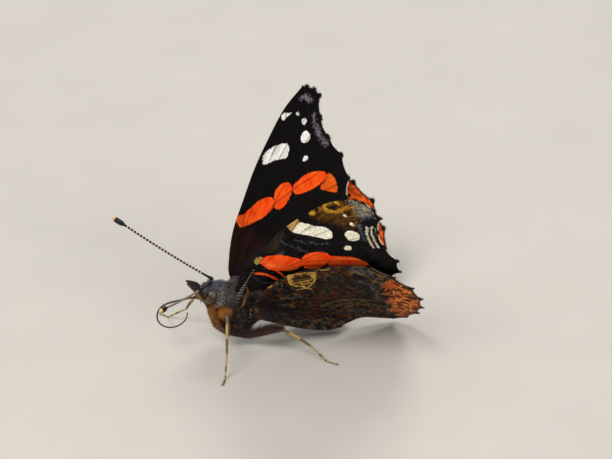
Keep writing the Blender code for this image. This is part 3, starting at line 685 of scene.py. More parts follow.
FORE_UNDER = {
    "brown": [patch((23.8, -2.9), (25.4, -3.0), (27.5, -3.1), (30.6, -2.0), (31.4, -0.4), (30.2, 1.1),
                    (28.6, 2.9), (26.2, 2.6), (25.0, 0.6), (23.6, -1.0))],
    "grey": [patch((31.0, -1.1), (32.6, -0.3), (33.0, 0.6), (33.2, 2.2), (31.9, 2.8), (30.2, 2.6), (29.8, 1.4),
                   (30.6, 0.1))],
    "dust": [patch((11.5, -3.1), (13.9, -3.2), (16.6, -3.4), (17.0, -2.9), (15.8, -2.4), (13.6, -1.6),
                   (11.8, -1.9), grow=-0.1)],
    "gold": [
        stroke(0.62, (26.4, -1.3), (26.5, -2.1), (27.4, -2.5), (28.6, -2.1), (28.9, -1.3)),
        stroke(0.50, (26.5, -1.4), (27.3, -0.5), (28.5, -0.3), (29.6, -0.1)),
        stroke(0.36, (29.6, -0.1), (30.4, 0.4)),
        patch((23.4, -2.8), (24.2, -2.8), (24.6, -2.5), (24.0, -2.1), (23.5, -2.3), grow=-0.02),
    ],
    "ink": [patch((29.7, 2.6), (31.0, 2.8), (32.2, 3.4), (32.7, 4.1), (31.4, 4.6), (29.6, 4.2), (28.4, 3.4)),
            patch((27.0, -1.8), (27.9, -1.7), (28.3, -1.2), (27.6, -0.9), (27.0, -1.2), grow=-0.08)],
    "steel": [stroke(0.50, (29.4, 2.4), (30.6, 2.6), (31.6, 3.2)), stroke(0.42, (28.2, 2.9), (27.2, 4.0), (25.9, 5.4)),
              stroke(0.40, (31.6, 2.2), (32.7, 2.6), (32.6, 3.6))],
    "streak": [stroke(0.36, (28.8, 3.9), (27.7, 4.7), (26.4, 6.1), (25.6, 7.3)),
               stroke(0.34, (29.6, 4.3), (28.5, 4.9), (27.2, 6.4), (26.2, 7.8)),
               stroke(0.28, (30.3, 4.7), (29.2, 5.4), (27.9, 6.8))],
    "band": [
        patch((8.9, -1.8), (10.3, -1.9), (12.1, -0.8), (13.3, 0.9), (13.7, 2.2), (13.0, 3.0), (11.6, 3.1),
              (10.2, 2.7), (8.7, 1.0), (8.3, -0.4), grow=0.08),
        patch((14.0, 2.3), (15.7, 2.1), (17.3, 2.9), (18.2, 4.0), (17.4, 5.0), (16.2, 5.4), (14.5, 5.5),
              (12.9, 5.0), (12.4, 4.0), (12.9, 3.2), grow=0.08),
        patch((17.9, 4.7), (19.1, 5.7), (20.6, 7.3), (20.9, 9.6), (20.2, 9.6), (18.5, 8.6), (16.4, 7.4),
              (15.6, 6.2), (16.6, 5.6), grow=0.10),
        stroke(0.58, (5.9, -1.0), (6.6, 0.0), (6.8, 1.2), (6.8, 2.4)),
        stroke(0.40, (8.7, 1.1), (8.5, 2.0), (8.1, 3.0)),
    ],
    "ochre": [patch((8.5, -2.8), (9.6, -2.7), (9.9, -2.0), (8.9, -1.6), (7.9, -2.0)),
              patch((18.4, -3.4), (19.8, -3.5), (21.0, -3.2), (20.6, -2.6), (19.4, -2.4), (18.2, -2.3))],
    "highlight": [stroke(0.34, (18.6, 6.1), (19.9, 7.3)), stroke(0.30, (9.0, -0.6), (9.6, 0.8))],
    "pale": [
        patch((18.2, -2.2), (19.6, -2.5), (20.8, -2.5), (21.5, -1.6), (22.3, -0.5), (23.2, 0.4), (23.1, 1.5),
              (22.0, 2.2), (20.8, 1.5), (19.6, -0.2), (18.5, -1.6)),
        patch((24.5, 2.9), (25.6, 2.8), (26.4, 3.5), (26.1, 4.5), (24.9, 4.9), (23.8, 4.2)),
        patch((21.5, 4.8), (22.4, 4.7), (22.8, 5.1), (22.1, 5.7), (21.4, 5.4)),
        dot(27.9, 0.7, 0.30), dot(27.3, 2.3, 0.34),
    ],
    "blue": [stroke(0.26, (15.3, -2.2), (15.1, -1.2), (15.5, -0.5), (15.5, 0.1), (16.0, 0.2), (15.7, 1.1),
                    (16.2, 1.8)),
             stroke(0.20, (18.4, 0.8), (19.2, 1.9), (20.6, 2.7)), stroke(0.20, (17.0, -1.0), (17.8, 0.4)),
             stroke(0.34, (5.0, -0.4), (4.6, 1.0), (5.2, 2.3)), stroke(0.22, (11.0, -1.2), (13.4, -0.6))],
    "edge": [],
}
HIND_UPPER = {
    "brown": [patch((0, -2), (7, -2), (9, 4), (8, 14), (3, 20), (-4, 18), (-3, 4))],
    "band_end": [patch((21.6, 6.6), (24.4, 6.4), (25.2, 8.6), (22.8, 13.2), (20.0, 17.0), (16.0, 20.4), (12.4, 21.9),
                   (11.2, 19.4), (14.2, 18.0), (17.0, 15.4), (19.0, 12.0), (20.6, 9.2))],
    "dots": [dot(21.7, 8.9, 0.34), dot(20.6, 12.0, 0.40), dot(18.6, 15.1, 0.42), dot(15.7, 17.8, 0.40),
             dot(12.9, 19.8, 0.36)],
    "blue": [dot(11.0, 20.6, 0.50, 1.2), dot(9.3, 21.5, 0.36)],
    "edge": [],
}
HIND_UNDER = {
    "umber": [patch((9, -1), (17, -2), (20, 3), (17, 9), (12, 11), (8, 8), (7, 3)),
              patch((1.0, 3.0), (5, 2.0), (7.5, 7.0), (8.0, 14.0), (4.5, 12.0), (1.5, 8.0))],
    "rufous": [dot(12.6, 3.0, 0.8), dot(14.6, 4.6, 0.5), dot(10.9, 4.4, 0.4)],
    "margin": [patch((21.1, 2.8), (22.8, 1.3), (24.4, 1.6), (25.4, 4.0), (24.4, 8.6), (22.0, 12.8), (19.2, 16.4),
                     (16.6, 18.8), (15.4, 17.2), (16.6, 15.6), (15.9, 13.4), (18.0, 11.4), (18.2, 9.2),
                     (20.0, 7.2), (19.5, 5.6), (20.8, 4.6))],
    "speck": [dot(24.5, 4.4, 0.36, 1.3), dot(24.2, 2.4, 0.30, 1.2), dot(23.0, 4.4, 0.26, 1.5),
              dot(23.4, 8.2, 0.34, 2.2), dot(21.2, 12.2, 0.36, 2.4), dot(18.5, 15.0, 0.34, 2.4),
              dot(20.0, 6.8, 0.36, 1.8), dot(21.9, 8.9, 0.24, 2.2), dot(19.8, 10.6, 0.28, 2.4),
              dot(22.6, 6.0, 0.28, 1.8), dot(18.6, 12.2, 0.26, 2.4), dot(16.8, 15.2, 0.26, 2.2),
              stroke(0.30, (21.8, 3.4), (20.4, 5.2), (20.9, 6.6)),
              stroke(0.26, (19.2, 8.9), (17.6, 10.8), (17.2, 12.6))],
    "cream": [
        stroke(0.30, (9.2, -5.0), (11.1, -4.8), (12.6, -4.4), (13.5, -4.2)),
        stroke(0.30, (13.5, -4.2), (12.7, -2.9), (11.6, -1.5)),
        stroke(0.34, (9.2, -5.0), (8.4, -3.3), (8.4, -2.1), (9.7, -1.1)),
        stroke(0.26, (8.6, -2.8), (10.0, -2.6), (11.4, -2.5), (12.6, -2.9)),
        stroke(0.26, (9.5, -1.9), (10.6, -1.7), (11.7, -1.6)),
        stroke(0.24, (9.9, -2.8), (9.9, -1.7)), stroke(0.22, (11.0, -2.6), (10.9, -1.5)),
        stroke(0.24, (11.6, -1.5), (9.9, -0.6), (8.1, -0.6)), stroke(0.24, (9.4, -1.2), (9.8, -0.2), (10.2, 0.3)),
        stroke(0.22, (9.9, -4.8), (9.7, -4.3)), stroke(0.22, (11.2, -4.7), (11.0, -4.0)),
        stroke(0.22, (12.4, -4.4), (12.1, -3.8)), patch((9.0, -4.6), (9.6, -4.6), (9.1, -3.4), (8.7, -3.0)),
        patch((12.6, -4.1), (13.2, -4.0), (12.5, -3.0), (12.2, -3.3)),
        stroke(0.26, (14.6, -4.4), (16.0, -4.2)),
        stroke(0.28, (5.6, -3.9), (4.8, -3.6), (4.3, -4.6)),
    ],
    "straw": [patch((9.2, -5.0), (13.5, -4.2), (12.6, -2.9), (11.6, -1.5), (9.7, -1.1), (8.4, -2.1), (8.4, -3.3),
                    grow=-0.1)],
    "tan": [
        stroke(0.55, (20.0, -3.6), (21.4, -3.4), (22.3, -3.0)), stroke(0.60, (22.5, -2.8), (23.2, -1.5), (23.2, -0.2)),
        stroke(0.40, (21.6, -2.2), (22.3, -0.8), (22.0, 0.9)), stroke(0.34, (20.4, 0.4), (21.2, 1.4), (21.8, 1.6)),
        stroke(0.40, (23.3, 0.2), (23.9, 1.0)), stroke(0.30, (19.0, -2.6), (20.0, -1.4)),
        stroke(0.24, (8.1, 6.8), (10.7, 6.1), (13.2, 6.5), (16.1, 7.6)),
        stroke(0.20, (10.0, 9.9), (12.0, 9.0), (14.6, 9.4), (16.6, 11.2)),
        stroke(0.20, (9.2, 8.2), (11.6, 7.7), (13.8, 8.2)),
        stroke(0.36, (1.9, 0.1), (2.4, 0.9)), stroke(0.28, (0.4, 0.5), (1.2, 1.4)),
        stroke(0.26, (3.0, 2.2), (4.6, 3.2), (4.4, 4.6)),
    ],
    "blue": [
        stroke(0.70, (20.6, -2.8), (21.3, -1.9)), stroke(0.50, (19.2, -3.4), (19.9, -2.2), (20.4, -0.8)),
        stroke(0.36, (21.2, -1.2), (21.3, 0.4)), stroke(0.30, (18.3, 0.6), (19.2, 2.2), (18.9, 3.6)),
        stroke(0.30, (17.6, 10.4), (16.0, 13.4), (14.4, 16.4)), stroke(0.30, (19.3, 4.0), (18.0, 6.2), (17.2, 8.2)),
        stroke(0.26, (5.2, 0.4), (6.4, 1.6), (7.6, 1.6)),
    ],
    "net": [
        stroke(0.18, (2.1, 6.3), (2.8, 7.4), (2.2, 8.2), (1.2, 7.4), (2.1, 6.3)),
        stroke(0.18, (3.1, 7.6), (4.1, 8.6), (3.7, 9.7), (2.7, 9.2), (3.1, 7.6)),
        stroke(0.18, (4.2, 9.2), (5.3, 10.4), (4.9, 11.8), (3.9, 10.8), (4.2, 9.2)),
        stroke(0.18, (5.2, 10.8), (6.3, 12.4), (5.9, 13.4), (4.9, 12.4), (5.2, 10.8)),
        stroke(0.18, (6.2, 12.6), (7.5, 14.0), (7.0, 14.8), (6.1, 13.9), (6.2, 12.6)),
        stroke(0.16, (1.1, 5.0), (2.0, 5.4), (2.4, 6.2)), stroke(0.16, (2.6, 10.4), (4.0, 12.6), (5.6, 14.6)),
    ],
    "dark": [stroke(0.5, (10.0, 12.1), (11.7, 15.5), (14.3, 18.9)),
             stroke(0.35, (8.4, 5.6), (11.0, 5.2), (14.0, 5.6), (16.8, 6.8)),
             stroke(0.40, (9.2, -3.9), (11.4, -3.6), (12.0, -3.5))],
    "edge": [],
}

UPPER_MARKS = (
    ScaleMark("brown", "#1d0d09", "#26120b", 1.6, 0.5, 0.9),
    ScaleMark("band", "#f0440a", "#fa5c14", 0.05, 0.14),
    ScaleMark("band_end", "#cc480a", "#de5c16", 0.06, 0.20),
    ScaleMark("dots", "#0b0708", "#140c0a", 0.06, 0.14),
    ScaleMark("blue", "#4a5a8c", "#6a78b0", 0.12, 0.2),
    ScaleMark("smudge", "#6a646e", "#a49ca2", 0.30, 0.8, 0.78),
    ScaleMark("pale", "#e6e4dc", "#f2f0ea", 0.05, 0.14),
    ScaleMark("edge", "#0b0708", "#140c0a", 0.06, 0.14),
)
UNDER_MARKS = (
    ScaleMark("brown", "#3e2408", "#5e380e", 0.7, 0.9, 0.95),
    ScaleMark("umber", "#150c09", "#24140e", 0.9, 0.9, 0.55),
    ScaleMark("grey", "#777060", "#9a907a", 0.5, 0.8, 0.92),
    ScaleMark("dust", "#3a3220", "#544830", 0.4, 0.9, 0.35),
    ScaleMark("rufous", "#4e1e0e", "#6a2c10", 0.5, 0.7, 0.7),
    ScaleMark("margin", "#c8561a", "#e8823a", 0.22, 0.8, 0.96),
    ScaleMark("ink", "#0b0809", "#131013", 0.25, 0.5, 0.95),
    ScaleMark("steel", "#3e4450", "#5a6068", 0.22, 0.6, 0.8),
    ScaleMark("blue", "#3c414c", "#5c6068", 0.16, 0.5, 0.75),
    ScaleMark("straw", "#4a3312", "#5c4016", 0.15, 0.4, 0.85),
    ScaleMark("tan", "#6a4e28", "#8c7044", 0.16, 0.6, 0.75),
    ScaleMark("ochre", "#9c7034", "#c09a5c", 0.08, 0.22),
    ScaleMark("gold", "#a87418", "#c8952c", 0.08, 0.26, 0.95),
    ScaleMark("streak", "#e0d8c0", "#b8a884", 0.10, 0.20, 0.95),
    ScaleMark("net", "#3e3a32", "#56503f", 0.10, 0.36, 0.6),
    ScaleMark("cream", "#ab8136", "#c79f4e", 0.05, 0.14),
    ScaleMark("band", "#ff440c", "#ff6224", 0.05, 0.14),
    ScaleMark("highlight", "#ff7c44", "#ff9058", 0.20, 0.3, 0.7),
    ScaleMark("pale", "#efe8cc", "#f8f4e2", 0.05, 0.14),
    ScaleMark("speck", "#2c120a", "#4a1e0c", 0.10, 0.25, 0.92),
    ScaleMark("dark", "#0a0707", "#120c0a", 0.16, 0.30, 0.9),
    ScaleMark("edge", "#0c0808", "#16100d", 0.06, 0.16),
)
# The underside is cryptic bark: clouds a few millimetres long, with specks and wavy threads over them
BARK = (
    Marble("#2c1a10", 2.2, 4.4, 0.46, 0.58, 0.80),
    Marble("#030203", 1.9, 4.0, 0.45, 0.53, 0.94, shift=7.0),
    Marble("#2c343e", 1.0, 1.7, 0.56, 0.62, 0.65, shift=13.0),
    Marble("#6e4e1c", 0.9, 1.5, 0.57, 0.63, 0.75, shift=21.0),
    Marble("#4c3818", 2.6, 3.4, 0.014, 0.003, 0.35, True, shift=29.0),
    Marble("#6a6456", 0.5, 0.9, 0.60, 0.66, 0.65, shift=37.0),
    Marble("#52220f", 1.5, 2.4, 0.56, 0.63, 0.75, shift=43.0),
)
RUST = (
    Marble("#5c200a", 1.2, 2.0, 0.45, 0.56, 0.88, within="margin", shift=3.0),
    Marble("#1e0a06", 0.8, 1.3, 0.56, 0.62, 0.85, within="margin", shift=5.0),
    Marble("#f2a45c", 0.7, 1.1, 0.55, 0.63, 0.65, within="margin", shift=9.0),
)
SINGED = (Marble("#7c2c08", 0.8, 1.6, 0.45, 0.54, 0.75, within="band_end", shift=5.0),)
APEX = (
    Marble("#1c0f06", 2.0, 1.2, 0.48, 0.58, 0.80, within="brown", shift=5.0),
    Marble("#8a6420", 1.2, 0.8, 0.56, 0.64, 0.65, within="brown", shift=11.0),
    Marble("#484844", 1.3, 0.9, 0.49, 0.58, 0.75, within="grey", shift=17.0),
    Marble("#a89f84", 0.7, 0.6, 0.55, 0.62, 0.60, within="grey", shift=23.0),
    Marble("#1b161b", 3.0, 1.2, 0.50, 0.60, 0.60, shift=31.0),
)


def marks_for(marks: tuple[ScaleMark, ...], table: dict) -> tuple[ScaleMark, ...]:
    """The scale colours that a face's table of markings needs."""
    return tuple(mark for mark in marks if mark.attribute in table)


FINISHES = {
    "forewing": (
        WingFinish("black_forewing_scales_upper", "#070506", "#0d0808", marks_for(UPPER_MARKS, FORE_UPPER),
                   "#0a0706"),
        WingFinish("marbled_forewing_scales_under", "#070606", "#0f0d0c", marks_for(UNDER_MARKS, FORE_UNDER),
                   "#120b08", 0.45, APEX),
    ),
    "hindwing": (
        WingFinish("black_hindwing_scales_upper", "#0c0909", "#150e0b", marks_for(UPPER_MARKS, HIND_UPPER),
                   "#0a0706", 0.55, SINGED),
        WingFinish("marbled_hindwing_scales_under", "#0c0808", "#1a100c", marks_for(UNDER_MARKS, HIND_UNDER),
                   "#0a0606", 0.50, BARK + RUST),
    ),
}


@dataclass
class Wing:
    """One wing: where it is held, how it bends and what is painted on it."""

    kind: WingKind
    side: int
    root: tuple[float, float, float]
    dihedral: float
    pitch: float
    sweep: float
    bend: tuple[float, float, float]
    crease: list | None = None
    crease_turn: float = 0.0
    neck: float = 0.0
    inner: list = field(default_factory=list)
    size: float = 1.0
    tuck: float = 0.0
    step: float = 0.17
    half_thickness: float = 0.065
    vein_height: float = 0.075
    vein_width: float = 0.13
    furrow: float = 0.10
    scallop: float = 0.46
    tooth: float = 0.0
    edge_line: float = 0.20

    def __post_init__(self) -> None:
        """Work out the wing's own axes."""
        turn = (turn_about((0, 1, 0), -math.radians(self.dihedral))
                @ turn_about((1, 0, 0), math.radians(self.pitch))
                @ turn_about((0, 0, 1), math.radians(self.sweep)))
        held = np.stack([AXES[0] * self.side, AXES[1], AXES[2]], 1) @ turn
        self.origin = from_body(np.array(self.root) * (self.side, 1, 1))[0]
        self.out = held[:, 0]
        self.fore = held[:, 1]
        normal = np.cross(self.out, self.fore)
        self.normal = normal if normal @ AXES[2] > 0 else -normal
        back = -math.radians(self.sweep)
        self.unsweep = np.array(((math.cos(back), -math.sin(back)), (math.sin(back), math.cos(back))))
        self.name = f"{self.kind.value}_{'left' if self.side > 0 else 'right'}"

    def past_crease(self, flat: np.ndarray) -> np.ndarray:
        """How far flat places lie past the crease, towards the body."""
        out = np.zeros(len(flat))
        if self.crease is None:
            return out
        own = flat @ self.unsweep
        line = np.array(self.crease)
        done = np.zeros(len(flat), bool)
        for i, (a, b) in enumerate(zip(line, line[1:])):
            now = ~done & ((own[:, 1] >= b[1]) | (i == len(line) - 2))
            t = np.maximum(0.0, (own[:, 1] - a[1]) / (b[1] - a[1]))
            out[now] = np.maximum(0.0, a[0] + (b[0] - a[0]) * t - own[:, 0])[now]
            done |= now
        return out

    def place(self, flat: np.ndarray, lift: np.ndarray) -> np.ndarray:
        """World millimetres of flat places, lifted off the bent sheet.

        Args:
            flat: Flat wing places.
            lift: Height above the sheet, upper side positive.

        Returns:
            One place in each row.
        """
        a, b, c = self.bend
        past = self.past_crease(flat)
        inward = self.unsweep @ np.array((-1.0, 0.0))
        held = flat - inward * past[:, None]
        rise = a * held[:, 0] ** 2 + b * held[:, 0] * held[:, 1] + c * held[:, 1] ** 2
        spot = self.origin + held[:, :1] * self.out + held[:, 1:] * self.fore + rise[:, None] * self.normal
        along = self.out * inward[0] + self.fore * inward[1]
        turn = np.minimum(past / CREASE_RADIUS, math.radians(self.crease_turn))
        rest = past - turn * CREASE_RADIUS
        spot = spot + (CREASE_RADIUS * np.sin(turn) + rest * np.cos(turn))[:, None] * along
        spot = spot - (CREASE_RADIUS * (1 - np.cos(turn)) + rest * np.sin(turn))[:, None] * self.normal
        up = np.cos(turn)[:, None] * self.normal + np.sin(turn)[:, None] * along
        return spot + up * np.reshape(lift, (-1, 1))

    def scalloped(self, ends: np.ndarray) -> np.ndarray:
        """Outer margin whose vein ends stand out and whose gaps curve inwards."""
        out = []
        for a, b in zip(np.array(ends), np.array(ends[1:])):
            along = b - a
            length = np.linalg.norm(along)
            inward = np.array((along[1], -along[0])) / length
            if inward @ (a + b) > 0:
                inward = -inward
            depth = min(self.scallop, 0.15 * length)
            t = np.arange(0, 1, self.step / length)[:, None]
            near_end = np.minimum(t, 1 - t) * length
            dip = depth * np.sin(math.pi * t) ** 0.75 - self.tooth * np.exp(-(near_end / 0.28) ** 2)
            out.append(a + along * t + inward * dip)
        return np.vstack(out + [np.array(ends[-1:])])

    def outline(self) -> np.ndarray:
        """Closed flat outline at about the lattice step."""
        if self.kind is WingKind.FORE:
            costa = self.dense(FORE_COSTA)
            return np.vstack([costa[:-1], self.scalloped(FORE_MARGIN), self.dense(FORE_INNER)[1:-1]])
        costa = self.dense(tucked(HIND_COSTA, self.tuck))
        rim = np.vstack([costa[:-1], self.margin()[0]]) * self.size
        edge = self.dense(self.inner) @ self.unsweep.T
        first = len(rim) // 3
        gap = np.linalg.norm(rim[first:, None] - edge[None], axis=2)
        i, j = np.unravel_index(np.argmin(gap), gap.shape)
        neck = np.array([(self.neck, -NECK_HALF_WIDTH), (self.neck, NECK_HALF_WIDTH)]) @ self.unsweep.T
        return np.vstack([rim[:first + i], edge[:j + 1][::-1], self.straight(edge[0], neck[0]),
                          self.straight(neck[0], neck[1]), self.straight(neck[1], rim[0])])

    def dense(self, points: list) -> np.ndarray:
        """A smooth flat curve at the lattice step."""
        length = np.linalg.norm(np.diff(np.array(points, float), axis=0), axis=1).sum()
        return smooth_curve(points, int(length / self.step) + 1)

    def straight(self, a: np.ndarray, b: np.ndarray) -> np.ndarray:
        """Places between two corners, without the corners themselves."""
        count = max(2, int(np.linalg.norm(b - a) / self.step))
        return a + (b - a) * (np.arange(1, count) / count)[:, None]

    def veins(self) -> list[np.ndarray]:
        """The veins as smooth flat lines."""
        table = FORE_VEINS if self.kind is WingKind.FORE else HIND_VEINS
        return [smooth_curve(tucked(v, self.tuck) * self.size, 24) for v in table]

    def lattice(self, loop: np.ndarray) -> np.ndarray:
        """Flat places of an even triangular lattice inside a loop."""
        low, high = loop.min(0), loop.max(0)
        rows = np.arange(low[1], high[1], self.step * 0.866)
        cols = np.arange(low[0], high[0], self.step)
        grid = np.array([(x + self.step / 2 * (j % 2), y) for j, y in enumerate(rows) for x in cols])
        grid = grid[inside_loop(grid, loop)]
        return grid[line_distance(grid, np.vstack([loop, loop[:1]])) > self.step * 0.55]

    def build(self, finishes: list[bpy.types.Material]) -> bpy.types.Object:
        """Make the two-faced wing sheet and its painted attributes.

        Args:
            finishes: Upper and under material.

        Returns:
            The wing.
        """
        loop = self.outline()
        flat = np.vstack([loop, self.lattice(loop)])
        count = len(loop)
        edges = [(i, (i + 1) % count) for i in range(count)]
        made, _, tris, _, _, _ = delaunay_2d_cdt([Vector(p) for p in flat], edges, [list(range(count))], 1, 1e-5)
        flat = np.array(made)
        tris = np.array(tris, np.int64)
        vein = np.full(len(flat), 1e9)
        for line in self.veins():
            vein = np.minimum(vein, line_distance(flat, line))
        rim = line_distance(flat, np.vstack([loop, loop[:1]]))
        ridge = self.vein_height * np.exp(-(vein / self.vein_width) ** 2)
        dip = -self.furrow * ease(vein, 0.1, 1.6) * ease(rim, 0.0, 1.5)
        half = self.half_thickness * (0.35 + 0.65 * ease(rim, 0.0, 0.35)) + ridge * ease(rim, 0.0, 0.5)
        top = self.place(flat, dip + half)
        low = self.place(flat, dip - half)
        n = len(flat)
        pairs = np.vstack([tris[:, (0, 1)], tris[:, (1, 2)], tris[:, (2, 0)]])
        known = {tuple(p) for p in pairs}
        border = [(a, b) for a, b in known if (b, a) not in known]
        upper, under = tris, tris[:, ::-1] + n
        if self.side < 0:
            upper, under = upper[:, ::-1], under[:, ::-1]
            border = [(b, a) for a, b in border]
        faces = [tuple(t) for t in upper] + [tuple(t) for t in under]
        faces += [(b, a, a + n, b + n) for a, b in border]
        wing = make_object(f"{self.name}_scaled", to_metres(np.vstack([top, low])), faces, finishes)
        face_slot = np.zeros(len(faces), np.int32)
        face_slot[len(tris):2 * len(tris)] = 1
        wing.data.polygons.foreach_set("material_index", face_slot)
        smooth_faces(wing)
        self.paint(wing, flat / self.size, vein)
        write_uv(wing.data, "flat", np.vstack([flat, flat]) * FLAT_TO_UV)
        return finish_piece(wing, (self.name,))

    def margin(self) -> tuple[np.ndarray, np.ndarray]:
        """The scalloped outer edge and the vein ends on it, in flat places before sizing."""
        ends = np.array(FORE_MARGIN) if self.kind is WingKind.FORE else tucked(HIND_MARGIN, self.tuck)
        return self.scalloped(ends), ends

    def paint(self, wing: bpy.types.Object, flat: np.ndarray, vein: np.ndarray) -> None:
        """Store how far each place lies inside each marking, on both faces."""
        upper = FORE_UPPER if self.kind is WingKind.FORE else HIND_UPPER
        under = FORE_UNDER if self.kind is WingKind.FORE else HIND_UNDER
        nothing = np.full(len(flat), -9.0)
        line, ends = self.margin()
        rim = self.edge_line - line_distance(flat, line)
        for end in ends:
            rim = np.maximum(rim, 0.46 - np.linalg.norm(flat - end, axis=1))
        full = flat.copy()
        for _ in range(4):
            full[:, 0] += flat[:, 0] - tucked(full, self.tuck)[:, 0]
        flat = full
        for name in sorted(set(upper) | set(under)):
            faces = []
            for table in (upper, under):
                reach = nothing.copy()
                for mark in table.get(name, []):
                    reach = np.maximum(reach, flipped(mark).reach(flat))
                faces.append(rim if name == "edge" else reach)
            write_attribute(wing.data, name, np.concatenate(faces))
        write_attribute(wing.data, "vein", np.concatenate([vein, vein]))


# ---------------------------------------------------------------- body


def sweep_tube(path: np.ndarray, radii: np.ndarray, sides: int, flat: float = 1.0) -> tuple[np.ndarray, list]:
    """Points and faces of a closed rod along a path.

    Args:
        path: Centre places, in any unit.
        radii: Radius at each place.
        sides: Number of corners of its section.
        flat: Width of the section against its height.

    Returns:
        Points and faces.
    """
    rings = []
    ahead = path[1] - path[0]
    normal = np.cross(ahead, (0.0, 0.0, 1.0))
    if np.linalg.norm(normal) < 1e-9:
        normal = np.array((1.0, 0.0, 0.0))
    for i, centre in enumerate(path):
        ahead = path[min(i + 1, len(path) - 1)] - path[max(i - 1, 0)]
        ahead = ahead / np.linalg.norm(ahead)
        normal = normal - ahead * (normal @ ahead)
        normal = normal / np.linalg.norm(normal)
        other = np.cross(ahead, normal)
        turn = 2 * math.pi * np.arange(sides) / sides
        rings.append(centre + radii[i] * (np.cos(turn)[:, None] * normal * flat
                                          + np.sin(turn)[:, None] * other))
    first = path[0] - (path[1] - path[0]) / np.linalg.norm(path[1] - path[0]) * radii[0] * 0.5
    last = path[-1] + (path[-1] - path[-2]) / np.linalg.norm(path[-1] - path[-2]) * radii[-1] * 0.5
    points = np.vstack(rings + [first[None], last[None]])
    faces = []
    count = len(path)
    for i in range(count - 1):
        for k in range(sides):
            a, b = i * sides + k, i * sides + (k + 1) % sides
            faces.append((a, b, b + sides, a + sides))
    end = (count - 1) * sides
    for k in range(sides):
        faces.append((count * sides, (k + 1) % sides, k))
        faces.append((count * sides + 1, end + k, end + (k + 1) % sides))
    return points, faces


COAT_COLOURS = {
    "back": "#544c49", "crown": "#585760", "chest": "#a4692e", "belly": "#3c2622", "abdomen": "#1f1613",
    "ring": "#4a3a2c", "flank": "#2a1f1e", "face": "#8a6434", "collar": "#5a5654", "bark": "#130c0b",
    "bark_gold": "#6a4e20", "bark_steel": "#3a414c", "bark_rust": "#4c2414", "rim": "#77726a",
}


def mix(a: np.ndarray, b: np.ndarray, share: np.ndarray) -> np.ndarray:
    """Blend two colours by a share for each place."""
    return a + (b - a) * share[:, None]


def coat_colour(body: np.ndarray) -> np.ndarray:
    """Colour of skin and coat at places in the body frame.

    Args:
        body: Places with x left, s forward and h up.

    Returns:
        One linear colour in each row.
    """
    tint = {k: np.array(hex_colour(v)[:3]) for k, v in COAT_COLOURS.items()}
    x, s, h = np.abs(body[:, 0]), body[:, 1], body[:, 2]
    out = np.tile(tint["back"], (len(body), 1))
    out = mix(out, tint["flank"], ease(-h, 1.2, 3.2))
    out = mix(out, tint["belly"], ease(-h, 3.8, 5.6))
    side = (ease(x, 0.9, 1.7) * ease(-s, -0.8, 0.4) * (1 - ease(-s, 4.8, 5.6))
            * ease(-h - 0.8 * s, 1.0, 2.2) * (1 - ease(-h, 5.6, 6.8)))
    out = mix(out, tint["bark"], 0.9 * side)
    for name, a, b in (("bark_gold", 3.7, 4.9), ("bark_steel", 4.6, -3.1), ("bark_rust", -3.3, 5.7)):
        blot = np.sin(a * s + 1.9 * h + a) * np.sin(b * h - 2.3 * s + b) + 0.35 * np.sin(9.1 * s + a * h)
        out = mix(out, tint[name], side * ease(blot, 0.55, 0.80) * 0.85)
    out = mix(out, tint["collar"], ease(s, 1.2, 2.2) * (1 - ease(s, 3.0, 3.6)) * ease(h, -3.5, -2.0))
    out = mix(out, tint["crown"], ease(s, 2.6, 3.2) * ease(h, -3.0, -1.6))
    front = ease(s + 0.30 * h, -0.9, 0.0) * ease(-h, 2.6, 3.6)
    out = mix(out, tint["chest"], front)
    out = mix(out, tint["face"], ease(s, 3.9, 4.6) * ease(-h, 2.2, 3.0))
    gap = np.linalg.norm((np.stack([x, s, h], 1) - EYE_CENTRE) / (EYE_RADII + 0.10), axis=1)
    behind = ease(gap, 0.98, 1.02) * (1 - ease(gap, 1.12, 1.24)) * ease(EYE_CENTRE[1] - s, 0.35, 0.75)
    out = mix(out, tint["rim"], behind * 0.8)
    tail = ease(-s, 5.0, 6.4)
    out = mix(out, tint["abdomen"], tail)
    ring = 0.5 + 0.5 * np.cos((s + 6.0) * 2 * math.pi / 1.75)
    out = mix(out, tint["ring"], tail * ring ** 6 * 0.8)
    return out


